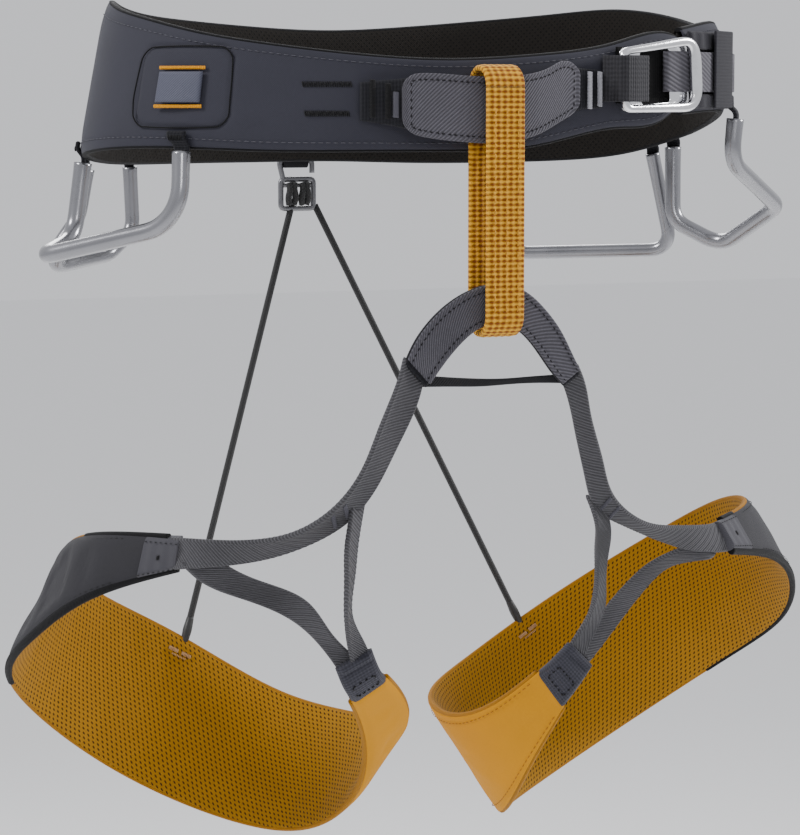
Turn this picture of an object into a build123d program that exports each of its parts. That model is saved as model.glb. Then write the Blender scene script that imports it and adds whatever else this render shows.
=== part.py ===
"""Adjustable climbing harness, size M, worn shape. Millimetres, +Z up, front towards -Y.

The origin is the centre of the waist opening at half the belt's height. +X is the
wearer's left. The soft parts are closed bands lofted through plain four-cornered sections.
"""
from build123d import *
from math import cos, radians, sin
import os

os.makedirs("parts", exist_ok=True)

# ---------------------------------------------------------------- driving dimensions
BELT_X, BELT_Y = 151.5, 110.0       # semi-axes of the belt's outer surface
BELT_PULL = 0.05                    # how far the strap pulls the left front in, as a share
BELT_PULL_AT = -302                 # middle of that pulled-in stretch
BELT_SKIN = 0.9                     # outer fabric and inner mesh
BELT_WEBBING = 1.2                  # load webbing under the outer fabric
BELT_THICK = 8.0                    # whole belt
GAP = 0.1                           # between sewn layers
HIP_LEAN = 0.16                     # how far the belt's upper half leans in at the hips

LEG_THICK = 5.0                     # whole leg loop band
LEG_SKIN = 0.8

CENTRE_X = -26.0                    # belay loop and leg bridge
BRIDGE_Y = -121.0                   # middle of the tie-in band and of the leg bridge
BELAY_WIDTH, BELAY_LENGTH = 17.5, 112.0
BELAY_PLY = 2.6
BELAY_DEPTH = 18.9                  # across both plies
BELAY_TOP = 14.0
BRIDGE_PLY = 2.4                    # tie-in band and leg bridge
COVER_PLY = 1.3
CROSS_PLY = 1.6
ARM_PLY = 2.0
TAB_PLY = 4.4                       # the arm tab is several folds thick

TUBE_FRONT, TUBE_REAR = 7.6, 6.6    # gear loop tube diameters
TUBE_WALL = 1.2

BACK_X = -17.0                      # riser tab, hook and haul loop
HOOK_Y = 112.6
HOOK_WIRE = 2.4
RISER_CORD = 3.2
RISER_TOP = -54.6

BUCKLE = Plane(origin=(60.0, -107.4, 9.5), x_dir=(0.95, 0.29, 0.07), z_dir=(0.292, -0.956, 0.0))
BUCKLE_THICK = 2.8
BUCKLE_EDGE = 0.9                   # rounding, so the frame's bar turns inside its webbing
STRAP_LOW, STRAP_HIGH = 3.0, 20.5   # lower and upper edge of the adjusting strap
STRAP_PLY = 0.9
KEEPER_PLY = 1.2
GUIDE_PLY = 2.5

# belt edges: angle from the front towards the wearer's left, lower edge, upper edge
BELT_EDGES = [
    (-325, -6, 30), (-312, -5, 33), (-300, -5, 34), (-285, -7, 33), (-270, -12, 34),
    (-255, -19, 39), (-240, -26, 42), (-225, -29, 40), (-210, -30, 37), (-195, -30, 34),
    (-180, -29, 32), (-165, -29, 33), (-150, -29, 35), (-135, -29, 37), (-120, -28, 40),
    (-105, -25, 42), (-90, -22, 38), (-75, -20, 33), (-60, -20, 27), (-45, -21, 22),
    (-30, -21, 18), (-15, -21, 16), (0, -19, 18), (15, -12, 23), (28, -7, 28), (32, 0, 26),
]


# ---------------------------------------------------------------- shared shapes
def finish(piece, name):
    """Label a finished sub-part and write its STEP file."""
    piece.part.label = name
    export_step(piece.part, f"parts/{name}.step")


def lofted(stations, near, far):
    """Loft a closed band between two depths above its face.

    Each station is the first edge point, the second edge point and the face normal.
    """
    with BuildPart() as piece:
        for first, second, normal in stations:
            across = second - first
            plane = Plane(origin=(first + second) * 0.5, x_dir=across, z_dir=across.cross(normal))
            corners = [first + normal * near, second + normal * near,
                       second + normal * far, first + normal * far]
            with BuildSketch(plane):
                with BuildLine():
                    Polyline(*[plane.to_local_coords(corner) for corner in corners], close=True)
                make_face()
        loft(ruled=True)
    return piece


def band(name, stations, near, far):
    """A sub-part that is one lofted band."""
    finish(lofted(stations, near, far), name)


def band_pair(name, upper, lower, near, far):
    """A sub-part made of two separate bands."""
    upper_band, lower_band = lofted(upper, near, far), lofted(lower, near, far)
    with BuildPart() as pair:
        add(upper_band.part)
        add(lower_band.part)
    finish(pair, name)


def belt_edge(angle):
    """Lower and upper edge heights of the belt at an angle, between the listed ones."""
    for (a0, low0, high0), (a1, low1, high1) in zip(BELT_EDGES, BELT_EDGES[1:]):
        if a0 <= angle <= a1:
            part = (angle - a0) / (a1 - a0)
            return low0 + (low1 - low0) * part, high0 + (high1 - high0) * part
    raise ValueError(angle)


def belt_point(angle, height):
    """A point on the belt's outer surface; above its middle it leans in at the hips."""
    turn = radians(angle)
    lean = HIP_LEAN * max(height, 0) * sin(turn) ** 2
    pull = 1 - BELT_PULL * max(0, cos(radians(min(90, 2.2 * abs(angle - BELT_PULL_AT)))))
    return Vector((BELT_X - lean) * sin(turn) * pull, -(BELT_Y - 0.3 * lean) * cos(turn) * pull, height)


def belt_normal(angle):
    turn = radians(angle)
    return Vector(sin(turn) / BELT_X, -cos(turn) / BELT_Y, 0).normalized()


def belt_stations(angles):
    """Full-height stations along the belt."""
    stations = []
    for angle in angles:
        low, high = belt_edge(angle)
        stations.append((belt_point(angle, high), belt_point(angle, low), belt_normal(angle)))
    return stations


def slice_stations(stations, low, high):
    """The same stations between two shares of their height, counted from the lower edge."""
    return [(bottom + (top - bottom) * high, bottom + (top - bottom) * low, normal)
            for top, bottom, normal in stations]


def trim_stations(stations, z_low, z_high):
    """The same stations between two heights."""
    trimmed = []
    for top, bottom, normal in stations:
        tall = top.Z - bottom.Z
        low, high = (z_low - bottom.Z) / tall, (z_high - bottom.Z) / tall
        trimmed += slice_stations([(top, bottom, normal)], low, high)
    return trimmed


def steps(start, end, count):
    """Evenly spaced values from start to end."""
    return [start + (end - start) * step / count for step in range(count + 1)]


def rail_stations(first_points, second_points, places, facing=1):
    """Stations between two smooth edges; facing -1 turns the face to the other side."""
    with BuildLine() as first_rail:
        Spline(*first_points)
    with BuildLine() as second_rail:
        Spline(*second_points)
    first, second = first_rail.wires()[0], second_rail.wires()[0]
    stations = []
    for at in places:
        along = (first % at) + (second % at)
        across = (second @ at) - (first @ at)
        normal = across.cross(along).normalized() * facing
        stations.append((first @ at, second @ at, normal))
    return stations


def plan_band(name, points, low, high, ply):
    """A webbing ply that stands upright along a line drawn in plan, mitred at its corners."""
    places = [Vector(x, y, 0) for x, y in points]
    runs = [(after - before).normalized() for before, after in zip(places, places[1:])]
    stations = []
    for place, run_in, run_out in zip(places, runs[:1] + runs, runs + runs[-1:]):
        along = (run_in + run_out).normalized()
        miter = Vector(along.Y, -along.X, 0) * (1 / along.dot(run_in))
        stations.append((place + Vector(0, 0, high), place + Vector(0, 0, low), miter))
    band(name, stations, ply / 2, -ply / 2)


def tube(name, points, radii, outer, inner=0.0):
    """Sweep a round tube along straight runs joined by tangent arcs."""
    with BuildLine() as path:
        FilletPolyline(*points, radius=radii)
    start = Plane(origin=path.line @ 0, z_dir=path.line % 0)
    with BuildPart() as piece:
        with BuildSketch(start):
            Circle(outer / 2)
            if inner:
                Circle(inner / 2, mode=Mode.SUBTRACT)
        sweep(path=path.wires()[0])
    finish(piece, name)


def straight_cord(name, start, end, diameter):
    """A straight round cord between two points."""
    start, end = Vector(*start), Vector(*end)
    with BuildPart() as piece:
        with BuildSketch(Plane(origin=start, z_dir=end - start)):
            Circle(diameter / 2)
        extrude(amount=(end - start).length)
    finish(piece, name)


# ---------------------------------------------------------------- waist belt
FOAM_FACE = -(BELT_SKIN + GAP + BELT_WEBBING + GAP)
FOAM_BACK = -(BELT_THICK - BELT_SKIN - GAP)
BELT_START, BELT_END = -325, 31

belt = belt_stations(steps(BELT_START, BELT_END, 30))
band("waist_shell", belt, 0, -BELT_SKIN)
band("waist_foam", belt, FOAM_FACE, FOAM_BACK)
band("waist_lining", belt, FOAM_BACK - GAP, -BELT_THICK)

webbing_face, webbing_back = -(BELT_SKIN + GAP), -(BELT_SKIN + GAP + BELT_WEBBING)
upper_run = slice_stations(belt[1:-1], 0.62, 0.86)
lower_run = slice_stations(belt[1:-1], 0.14, 0.38)
band_pair("waist_load_webbing", upper_run, lower_run, webbing_face, webbing_back)

# ---------------------------------------------------------------- tie-in band at the front
TIE_IN_TOP = [(-77, -97.6, 7), (-66, -103.4, 8), (-54, -111, 9), (-40, -118.4, 8), (CENTRE_X, BRIDGE_Y, 7.5),
              (-10, -119.6, 9), (4, -115.4, 12), (16, -111.6, 13), (29, -109.6, 12)]
TIE_IN_BOTTOM = [(-77, -97.6, -9), (-66, -103.4, -11), (-54, -111, -14), (-40, -118.4, -16),
                 (CENTRE_X, BRIDGE_Y, -16.5), (-10, -119.6, -14), (4, -115.4, -9), (16, -111.6, -5),
                 (29, -109.6, -4)]
COVER_LOW, COVER_HIGH = -0.09, 1.09 # the wear cover stands past the band's edges

tie_in = rail_stations(TIE_IN_TOP, TIE_IN_BOTTOM, steps(0, 1, 18))
band("tie_in_loop", tie_in, BRIDGE_PLY / 2, -BRIDGE_PLY / 2)
cover_face = BRIDGE_PLY / 2 + GAP
tie_in_cover = slice_stations(tie_in[2:17], COVER_LOW, COVER_HIGH)
band("tie_in_wear_cover", tie_in_cover, cover_face + COVER_PLY, cover_face)

TACK_WIDE, TACK_TALL, TACK_STAND = 1.6, 13.0, 1.0
TACK_PLACES = [(-73.5, -102.2, -20), (23.5, -112.4, 4), (27.6, -112.0, 5)]  # x, y and the turn outwards
with BuildPart() as tie_in_bar_tacks:
    for x, y, turn in TACK_PLACES:
        with BuildSketch(Plane(origin=(x, y, 3), z_dir=(sin(radians(turn)), -cos(radians(turn)), 0))):
            Rectangle(TACK_WIDE, TACK_TALL)
        extrude(amount=TACK_STAND)
finish(tie_in_bar_tacks, "tie_in_bar_tacks")

# ---------------------------------------------------------------- belay loop
with BuildPart() as belay_loop:
    belay_middle = BELAY_TOP - BELAY_LENGTH / 2
    with BuildSketch(Plane.YZ.offset(CENTRE_X - BELAY_WIDTH / 2)):
        with Locations((BRIDGE_Y - 0.3, belay_middle)):
            SlotOverall(BELAY_LENGTH, BELAY_DEPTH, rotation=90)
            inner_length = BELAY_LENGTH - 2 * BELAY_PLY
            SlotOverall(inner_length, BELAY_DEPTH - 2 * BELAY_PLY, rotation=90, mode=Mode.SUBTRACT)
    extrude(amount=BELAY_WIDTH)
finish(belay_loop, "belay_loop")

# ---------------------------------------------------------------- leg bridge
BRIDGE_OUTER = [(-68, -108), (-64, -100), (-57, -91), (-48, -83.5), (-37, -78), (-26, -76), (-14, -79),
                (-4, -87), (4, -97), (10, -108), (14, -115)]
BRIDGE_INNER = [(-58, -118), (-53.5, -112), (-48.5, -106), (-42, -99.5), (-34, -94.2), (-26, -92.6),
                (-18, -94.6), (-11, -100), (-4.5, -108), (1, -115), (6, -120)]
bridge_outer = [(x, BRIDGE_Y, z) for x, z in BRIDGE_OUTER]
bridge_inner = [(x, BRIDGE_Y, z) for x, z in BRIDGE_INNER]
bridge = rail_stations(bridge_outer, bridge_inner, steps(0, 1, 20))
band("leg_bridge", bridge, BRIDGE_PLY / 2, -BRIDGE_PLY / 2)
band("leg_bridge_cover", bridge[1:-1], cover_face + COVER_PLY, cover_face)

STRAP_BACK = BRIDGE_Y + (BRIDGE_PLY + CROSS_PLY) / 2 + 0.3
CROSS_TOP = [(-60, STRAP_BACK, -113), (-45, STRAP_BACK + 1, -114.5), (CENTRE_X, STRAP_BACK + 2, -116),
             (-9, STRAP_BACK + 1, -115.5), (7, STRAP_BACK, -115)]
CROSS_BOTTOM = [(-60, STRAP_BACK, -118), (-45, STRAP_BACK + 1, -118.5), (CENTRE_X, STRAP_BACK + 3, -119),
                (-9, STRAP_BACK + 1, -118.5), (7, STRAP_BACK, -119)]
band("cross_strap", rail_stations(CROSS_TOP, CROSS_BOTTOM, steps(0, 1, 10)), CROSS_PLY / 2, -CROSS_PLY / 2)

# ---------------------------------------------------------------- leg loops
# upper and lower edge of each loop, from its outer front end round the back to its inner front end
RIM = {
    "right": (
        [(-147, -72, -181), (-165, -33, -184), (-168, 2, -191), (-162, 32, -203), (-142, 60, -222),
         (-97, 73, -248), (-52, 43, -276), (-31, 0, -280), (-29, -36, -276), (-43, -66, -258),
         (-64, -89, -241)],
        [(-145, -63, -195), (-174, -29, -211), (-187, 2, -231), (-189, 31, -249), (-172, 60, -272),
         (-126, 70, -309), (-80, 40, -331), (-58, -3, -327), (-51, -36, -304), (-60, -62, -273),
         (-78, -85, -250)]),
    "left": (
        [(102, -84, -188), (136, -53, -186), (153, -21, -187), (158, 11, -194), (149, 47, -212),
         (107, 76, -245), (51, 65, -272), (17, 31, -281), (12, -5, -282), (18, -36, -271), (31, -62, -249)],
        [(110, -85, -201), (150, -57, -210), (179, -27, -228), (192, 3, -250), (185, 37, -273),
         (143, 65, -308), (86, 54, -332), (50, 21, -335), (37, -12, -324), (35, -39, -298), (42, -63, -264)]),
}
FACING = {"right": -1, "left": 1}
DARK_END = {"right": 0.30, "left": 0.40}    # where the dark outer fabric gives way to the yellow one
BAND_START, BAND_END = 0.015, 0.985

# the webbing arms: outer edge points, inner edge points
OUTER_ARM = {
    "right": ([(-70.5, -122, -111.5), (-79, -121, -133), (-85, -117, -150), (-97, -111, -168),
               (-111, -103, -178), (-125, -92, -181), (-144.5, -75.5, -181)],
              [(-60.5, -120, -121), (-69, -115, -143), (-77, -111, -161), (-85, -103, -174),
               (-103, -93, -185), (-122, -84, -191), (-144, -72, -194.5)]),
    "left": ([(15.5, -122, -117.5), (19, -122, -133), (27, -118, -153), (33, -115, -167), (50, -110, -181),
              (74, -100, -186), (99.5, -87, -188)],
             [(7.5, -120, -122.5), (14, -116, -140), (21, -112, -160), (27, -109, -173), (45, -102, -183),
              (68, -93, -193), (98, -86, -201)]),
}
INNER_ARM = {
    "right": ([(-80, -104.5, -171), (-81, -102, -182), (-80, -97, -198), (-79, -92, -216),
               (-72, -88.5, -228)],
              [(-88, -109.5, -175), (-89, -110, -183), (-88, -107, -196), (-86, -101, -212),
               (-82, -94, -226)]),
    "left": ([(35, -107, -180), (43, -94, -194), (49, -79, -212), (53, -69, -228), (51, -64.5, -239)],
             [(25.5, -112, -177), (32, -102, -191), (39, -89, -210), (43, -76, -227), (42, -68.5, -235)]),
}
CROSS_ARM = {
    "right": ([(-125, -79, -195.5), (-113, -83, -201), (-97, -87, -209), (-84, -85.5, -224.5)],
              [(-141, -74, -199), (-122, -79, -208), (-104, -82, -216), (-86, -80, -232)]),
    "left": ([(86, -86, -197.5), (73, -79, -205), (64, -72, -215), (55.5, -63, -231)],
             [(99, -86, -204), (87, -78, -206), (76, -71, -217), (60, -60, -243)]),
}
TAB = {
    "right": ([(-69, -91.5, -230.5), (-65, -90, -239)], [(-84, -86.5, -239), (-80, -85.5, -247.5)]),
    "left": ([(38, -67.5, -240), (32, -64.5, -247)], [(52, -62.5, -252), (44, -63.5, -262)]),
}


RISER_AT = {"right": 0.5, "left": 0.55}     # where the riser meets the loop's upper edge
RISER_HEAD = {"right": (-19.5, HOOK_Y, RISER_TOP), "left": (-4.5, HOOK_Y, RISER_TOP)}
SLEEVE_LONG, SLEEVE_WIDE = 10.0, 5.4
STITCH_LONG, STITCH_TALL, STITCH_PLY = 11.0, 5.0, 0.8
STITCH_STAND = 0.8                  # the stitches stand clear of the lining's flat facets
STITCH_DROP = 6.0                   # below the loop's upper edge
SLEEVE_CLEAR = 1.4                  # between the sleeve's end and that edge

for side in ("right", "left"):
    facing = FACING[side]
    half = LEG_THICK / 2
    seam = DARK_END[side]
    dark_places = steps(BAND_START, seam, 9)
    light_places = steps(seam + 0.002, BAND_END, 15)
    dark = rail_stations(*RIM[side], dark_places, facing)
    light = rail_stations(*RIM[side], light_places, facing)
    band(f"{side}_leg_shell", dark, half, half - LEG_SKIN)
    band(f"{side}_leg_thigh_fabric", light, half, half - LEG_SKIN)
    band(f"{side}_leg_foam", dark + light, half - LEG_SKIN - GAP, LEG_SKIN + GAP - half)
    band(f"{side}_leg_lining", dark + light, LEG_SKIN - half, -half)
    for arm_name, arm_rails in (("outer_arm", OUTER_ARM), ("inner_arm", INNER_ARM), ("cross_arm", CROSS_ARM)):
        arm = rail_stations(*arm_rails[side], steps(0, 1, 12))
        band(f"{side}_{arm_name}", arm, ARM_PLY / 2, -ARM_PLY / 2)
    tab_normal = Vector(0.2 * facing, -1, 0.1).normalized()
    tab = [(Vector(*first), Vector(*second), tab_normal) for first, second in zip(*TAB[side])]
    band(f"{side}_arm_tab", tab, TAB_PLY / 2, -TAB_PLY / 2)

    rim_point, low_point, outward = rail_stations(*RIM[side], [RISER_AT[side]], facing)[0]
    down = (low_point - rim_point).normalized()
    head = Vector(*RISER_HEAD[side])
    cord_way = (rim_point - head).normalized()
    sleeve_end = rim_point - cord_way * SLEEVE_CLEAR
    sleeve_start = sleeve_end - cord_way * SLEEVE_LONG
    straight_cord(f"{side}_riser_sleeve", sleeve_start, sleeve_end, SLEEVE_WIDE)
    straight_cord(f"{side}_riser_cord", head, sleeve_start - cord_way * GAP, RISER_CORD)
    with BuildPart() as riser_stitches:
        stitch_centre = rim_point + down * STITCH_DROP - outward * (half + STITCH_STAND)
        with BuildSketch(Plane(origin=stitch_centre, x_dir=down.cross(outward), z_dir=-outward)):
            Rectangle(STITCH_LONG, STITCH_TALL)
        extrude(amount=STITCH_PLY)
    finish(riser_stitches, f"{side}_riser_stitches")

# ---------------------------------------------------------------- gear loops
GEAR_PATH = {
    "front_right": ([(-138.5, -52.5, -22), (-141, -57, -52), (-181, 3, -67), (-158, 29, -61),
                     (-153, 30, -28)], [19, 8, 13], TUBE_FRONT),
    "front_left": ([(129, -54, -9), (127, -54, -28), (172, -22, -50), (165, 17, -70), (146, 31, -58),
                    (147, 33, -23)], [12, 10, 12, 10], TUBE_FRONT),
    "rear_right": ([(-113, 80, -31), (-111, 82, -60), (-125, 76, -71), (-169, 40, -75), (-151, 42, -52),
                    (-147, 42, -31)], [8, 10, 8, 12], TUBE_REAR),
    "rear_left": ([(143, 46, -26), (155, 47, -73), (93, 104, -76), (88, 97, -32)], [8, 10], TUBE_REAR),
}
ANCHOR_REACH = 9.0                  # the anchor's length up the belt from its lower edge
ANCHOR_CLEAR = 1.6                  # between the tube's end and the anchor
ANCHOR_PLY = 1.6

for place, (points, radii, diameter) in GEAR_PATH.items():
    bore = diameter - 2 * TUBE_WALL
    tube(f"{place}_gear_tube", points, radii, diameter, bore)
    tube(f"{place}_gear_cord", points, radii, bore - 2 * GAP)
    with BuildPart() as anchors:
        for x, y, z in (points[0], points[-1]):
            away = Vector(x / BELT_X ** 2, y / BELT_Y ** 2, 0).normalized()
            foot = Vector(x, y, z + ANCHOR_CLEAR)
            with BuildSketch(Plane(origin=foot, x_dir=(-away.Y, away.X, 0), z_dir=(0, 0, 1))):
                Rectangle(diameter, ANCHOR_PLY)
            extrude(amount=ANCHOR_REACH)
    finish(anchors, f"{place}_gear_anchors")

# ---------------------------------------------------------------- front buckle and adjusting strap
with BuildPart() as buckle_frame:
    with BuildSketch(BUCKLE.offset(-BUCKLE_THICK / 2)):
        with BuildLine():
            Polyline((-25, -13.5), (-25, 13.5), (25, 17), (25, -17), close=True)
        make_face()
        fillet(vertices().group_by(Axis.X)[0], 4)
        fillet(vertices().group_by(Axis.X)[-1], 9)
        with BuildLine():
            Polyline((-22, -10.5), (-22, 10.5), (18.5, 12), (18.5, -12), close=True)
        make_face(mode=Mode.SUBTRACT)
    extrude(amount=BUCKLE_THICK)
    fillet(buckle_frame.faces().filter_by(Plane(BUCKLE.origin, z_dir=BUCKLE.z_dir)).edges(), BUCKLE_EDGE)
finish(buckle_frame, "buckle_frame")

BASE_FACE, BASE_THICK = -2.6, 1.4
BASE_LONG, BASE_TALL = 42.0, 27.0
BASE_OPEN_LONG, BASE_OPEN_TALL = 17.5, 22.6
with BuildPart() as buckle_base:
    with BuildSketch(BUCKLE.offset(BASE_FACE - BASE_THICK)):
        with Locations((-1, 0)):
            RectangleRounded(BASE_LONG, BASE_TALL, 3)
            Rectangle(BASE_OPEN_LONG, BASE_OPEN_TALL, mode=Mode.SUBTRACT)
    extrude(amount=BASE_THICK)
finish(buckle_base, "buckle_base")


def buckle_plan(along, depth):
    """A point in plan from its place along the buckle and its depth behind the buckle's middle."""
    level = Vector(BUCKLE.x_dir.X, BUCKLE.x_dir.Y, 0).normalized()
    place = BUCKLE.origin + level * along - BUCKLE.z_dir * depth
    return place.X, place.Y


def belt_plan(angle, stand):
    """A point in plan at a distance outside the belt's outer surface."""
    place = belt_point(angle, 0) + belt_normal(angle) * stand
    return place.X, place.Y


anchor_path = [buckle_plan(-29.5, 6.0), buckle_plan(-25.5, 2.1), buckle_plan(-8.6, 2.1),
               buckle_plan(-7.2, 3.3), buckle_plan(-8.6, 4.7), buckle_plan(-24.5, 4.7),
               buckle_plan(-27.5, 6.8)]
plan_band("buckle_anchor_webbing", anchor_path, -1.0, 16.0, STRAP_PLY)

TAIL_END, SEWN_END = -278, -288
strap_path = [belt_plan(angle, 2.3) for angle in range(TAIL_END, -325, -5)]
strap_path += [buckle_plan(30, 7.2), buckle_plan(25, 2.1), buckle_plan(6.2, 2.1), buckle_plan(4.8, 3.3),
               buckle_plan(6.2, 4.8), buckle_plan(25, 4.8), belt_plan(-324.5, 0.7)]
strap_path += [belt_plan(angle, 0.7) for angle in range(-320, SEWN_END, 5)]
plan_band("adjust_strap", strap_path, STRAP_LOW, STRAP_HIGH, STRAP_PLY)

# the guide: a strip above and a strip below the strap on the belt's left end
left_end = belt[:4]
band_pair("strap_guide", trim_stations(left_end, STRAP_HIGH + 0.6, 29.5),
          trim_stations(left_end, -4.5, STRAP_LOW - 0.6), GAP + GUIDE_PLY, GAP)
KEEPER_START, KEEPER_END, KEEPER_STAND = -316, -304, 4.1
keeper_path = [belt_plan(angle, KEEPER_STAND) for angle in steps(KEEPER_START, KEEPER_END, 6)]
plan_band("strap_keeper", keeper_path, -4, 30, KEEPER_PLY)

# ---------------------------------------------------------------- back: riser tab, hook and haul loop
with BuildPart() as riser_tab:
    with BuildSketch(Plane.YZ.offset(BACK_X - 6)):
        with Locations((HOOK_Y, -20)):
            SlotOverall(26, 6.2, rotation=90)
            SlotOverall(23.6, 3.8, rotation=90, mode=Mode.SUBTRACT)
    extrude(amount=13)
finish(riser_tab, "riser_tab")

with BuildPart() as riser_hook:
    with BuildSketch(Plane.XZ.offset(-HOOK_Y - HOOK_WIRE / 2)):
        with Locations((-15.6, -45.6)):
            RectangleRounded(17, 15.6, 3)
            RectangleRounded(12.2, 10.8, 1, mode=Mode.SUBTRACT)
        with BuildLine():
            Polyline((-24.1, -40), (-26.6, -27.4), (-6.6, -27.4), (-6.6, -35), (-9, -35), (-9, -29.8),
                     (-24.4, -29.8), (-21.7, -40), close=True)
        make_face()
    extrude(amount=HOOK_WIRE)
finish(riser_hook, "riser_hook")

with BuildPart() as riser_wraps:
    with BuildSketch(Plane.XY.offset(-50.9)):
        with Locations((-15.6, HOOK_Y)):
            with GridLocations(2.9, 1, 4, 1):
                Circle(1.3)
    extrude(amount=10.6)
finish(riser_wraps, "riser_wraps")

HAUL_LONG, HAUL_TALL, HAUL_WIDE, HAUL_PLY = 30.0, 20.0, 8.0, 1.7
with BuildPart() as haul_loop:
    with BuildSketch(Plane.XZ.offset(-119)):
        with Locations((BACK_X, 5)):
            SlotOverall(HAUL_LONG, HAUL_TALL)
            SlotOverall(HAUL_LONG - 2 * HAUL_PLY, HAUL_TALL - 2 * HAUL_PLY, mode=Mode.SUBTRACT)
    extrude(amount=HAUL_WIDE)
finish(haul_loop, "haul_loop")

# ---------------------------------------------------------------- tool clip slots, one on each hip
SLOT_AT = {"right": (-68, -57), "left": (-265, -254)}
for side, (start, end) in SLOT_AT.items():
    place = belt_stations(steps(start, end, 4))
    band(f"{side}_clip_slot_webbing", trim_stations(place, -1.5, 11.5), 2.0, 0.6)
    band_pair(f"{side}_clip_slot_tacks", trim_stations(place, 12.2, 13.8), trim_stations(place, -3.8, -2.2),
              1.8, 0.6)
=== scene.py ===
"""Looks of the climbing harness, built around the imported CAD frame.

Shape numbers are millimetres in the CAD frame; MM turns them into Blender's metres.
"""
import math

import bpy
import numpy as np
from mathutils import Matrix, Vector


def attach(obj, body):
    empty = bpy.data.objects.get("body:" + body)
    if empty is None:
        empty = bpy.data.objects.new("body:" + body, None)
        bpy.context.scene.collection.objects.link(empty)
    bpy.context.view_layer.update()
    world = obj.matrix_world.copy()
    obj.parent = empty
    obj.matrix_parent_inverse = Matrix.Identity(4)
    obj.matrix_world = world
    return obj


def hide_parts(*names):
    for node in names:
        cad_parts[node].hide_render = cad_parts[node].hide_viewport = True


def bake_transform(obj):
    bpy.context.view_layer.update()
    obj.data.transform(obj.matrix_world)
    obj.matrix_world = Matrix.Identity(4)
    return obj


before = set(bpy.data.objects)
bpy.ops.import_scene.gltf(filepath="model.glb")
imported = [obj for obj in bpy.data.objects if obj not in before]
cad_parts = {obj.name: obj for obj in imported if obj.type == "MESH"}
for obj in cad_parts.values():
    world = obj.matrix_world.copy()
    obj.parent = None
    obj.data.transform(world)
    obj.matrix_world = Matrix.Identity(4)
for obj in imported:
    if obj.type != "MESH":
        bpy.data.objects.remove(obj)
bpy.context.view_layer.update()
MM = 0.001


# ================================================================ numbers shared with the CAD model
BELT_X, BELT_Y = 151.5, 110.0
BELT_PULL, BELT_PULL_AT = 0.05, -302
HIP_LEAN = 0.16
BELT_START, BELT_END = -325.0, 31.0
BELT_FLARE = 8.5                    # the padding spreads a little on the wearer's right hip
BELT_EDGES = [
    (-325, -6, 30), (-312, -5, 33), (-300, -5, 34), (-285, -7, 33), (-270, -12, 34),
    (-255, -19, 39), (-240, -26, 42), (-225, -29, 40), (-210, -30, 37), (-195, -30, 34),
    (-180, -29, 32), (-165, -29, 33), (-150, -29, 35), (-135, -29, 37), (-120, -28, 40),
    (-105, -25, 42), (-90, -22, 38), (-75, -20, 33), (-60, -20, 27), (-45, -21, 22),
    (-30, -21, 18), (-15, -21, 16), (0, -19, 18), (15, -12, 23), (28, -7, 28), (32, 0, 26),
]
TIE_IN_TOP = [(-77, -97.6, 7), (-66, -103.4, 8), (-54, -111, 9), (-40, -118.4, 8), (-26, -121, 7.5),
              (-10, -119.6, 9), (4, -115.4, 12), (16, -111.6, 13), (29, -109.6, 12)]
TIE_IN_BOTTOM = [(-77, -97.6, -9), (-66, -103.4, -11), (-54, -111, -14), (-40, -118.4, -16),
                 (-26, -121, -16.5), (-10, -119.6, -14), (4, -115.4, -9), (16, -111.6, -5),
                 (29, -109.6, -4)]
CENTRE_X, BRIDGE_Y = -26.0, -121.0
BELAY_WIDTH, BELAY_LENGTH, BELAY_DEPTH, BELAY_PLY, BELAY_TOP = 17.5, 112.0, 18.9, 2.6, 14.0
BRIDGE_OUTER = [(-68, -108), (-64, -100), (-57, -91), (-48, -83.5), (-37, -78), (-26, -76), (-14, -79),
                (-4, -87), (4, -97), (10, -108), (14, -115)]
BRIDGE_INNER = [(-58, -118), (-53.5, -112), (-48.5, -106), (-42, -99.5), (-34, -94.2), (-26, -92.6),
                (-18, -94.6), (-11, -100), (-4.5, -108), (1, -115), (6, -120)]
CROSS_TOP = [(-60, -118.7, -113), (-45, -117.7, -114.5), (-26, -116.7, -116), (-9, -117.7, -115.5),
             (7, -118.7, -115)]
CROSS_BOTTOM = [(-60, -118.7, -118), (-45, -117.7, -118.5), (-26, -115.7, -119), (-9, -117.7, -118.5),
                (7, -118.7, -119)]
RIM = {
    "right": (
        [(-147, -72, -181), (-165, -33, -184), (-168, 2, -191), (-162, 32, -203), (-142, 60, -222),
         (-97, 73, -248), (-52, 43, -276), (-31, 0, -280), (-29, -36, -276), (-43, -66, -258),
         (-64, -89, -241)],
        [(-145, -63, -195), (-174, -29, -211), (-187, 2, -231), (-189, 31, -249), (-172, 60, -272),
         (-126, 70, -309), (-80, 40, -331), (-58, -3, -327), (-51, -36, -304), (-60, -62, -273),
         (-78, -85, -250)]),
    "left": (
        [(102, -84, -188), (136, -53, -186), (153, -21, -187), (158, 11, -194), (149, 47, -212),
         (107, 76, -245), (51, 65, -272), (17, 31, -281), (12, -5, -282), (18, -36, -271), (31, -62, -249)],
        [(110, -85, -201), (150, -57, -210), (179, -27, -228), (192, 3, -250), (185, 37, -273),
         (143, 65, -308), (86, 54, -332), (50, 21, -335), (37, -12, -324), (35, -39, -298),
         (42, -63, -264)]),
}
FACING = {"right": -1, "left": 1}
DARK_END = {"right": 0.30, "left": 0.40}
LEG_THICK = 5.0
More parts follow.
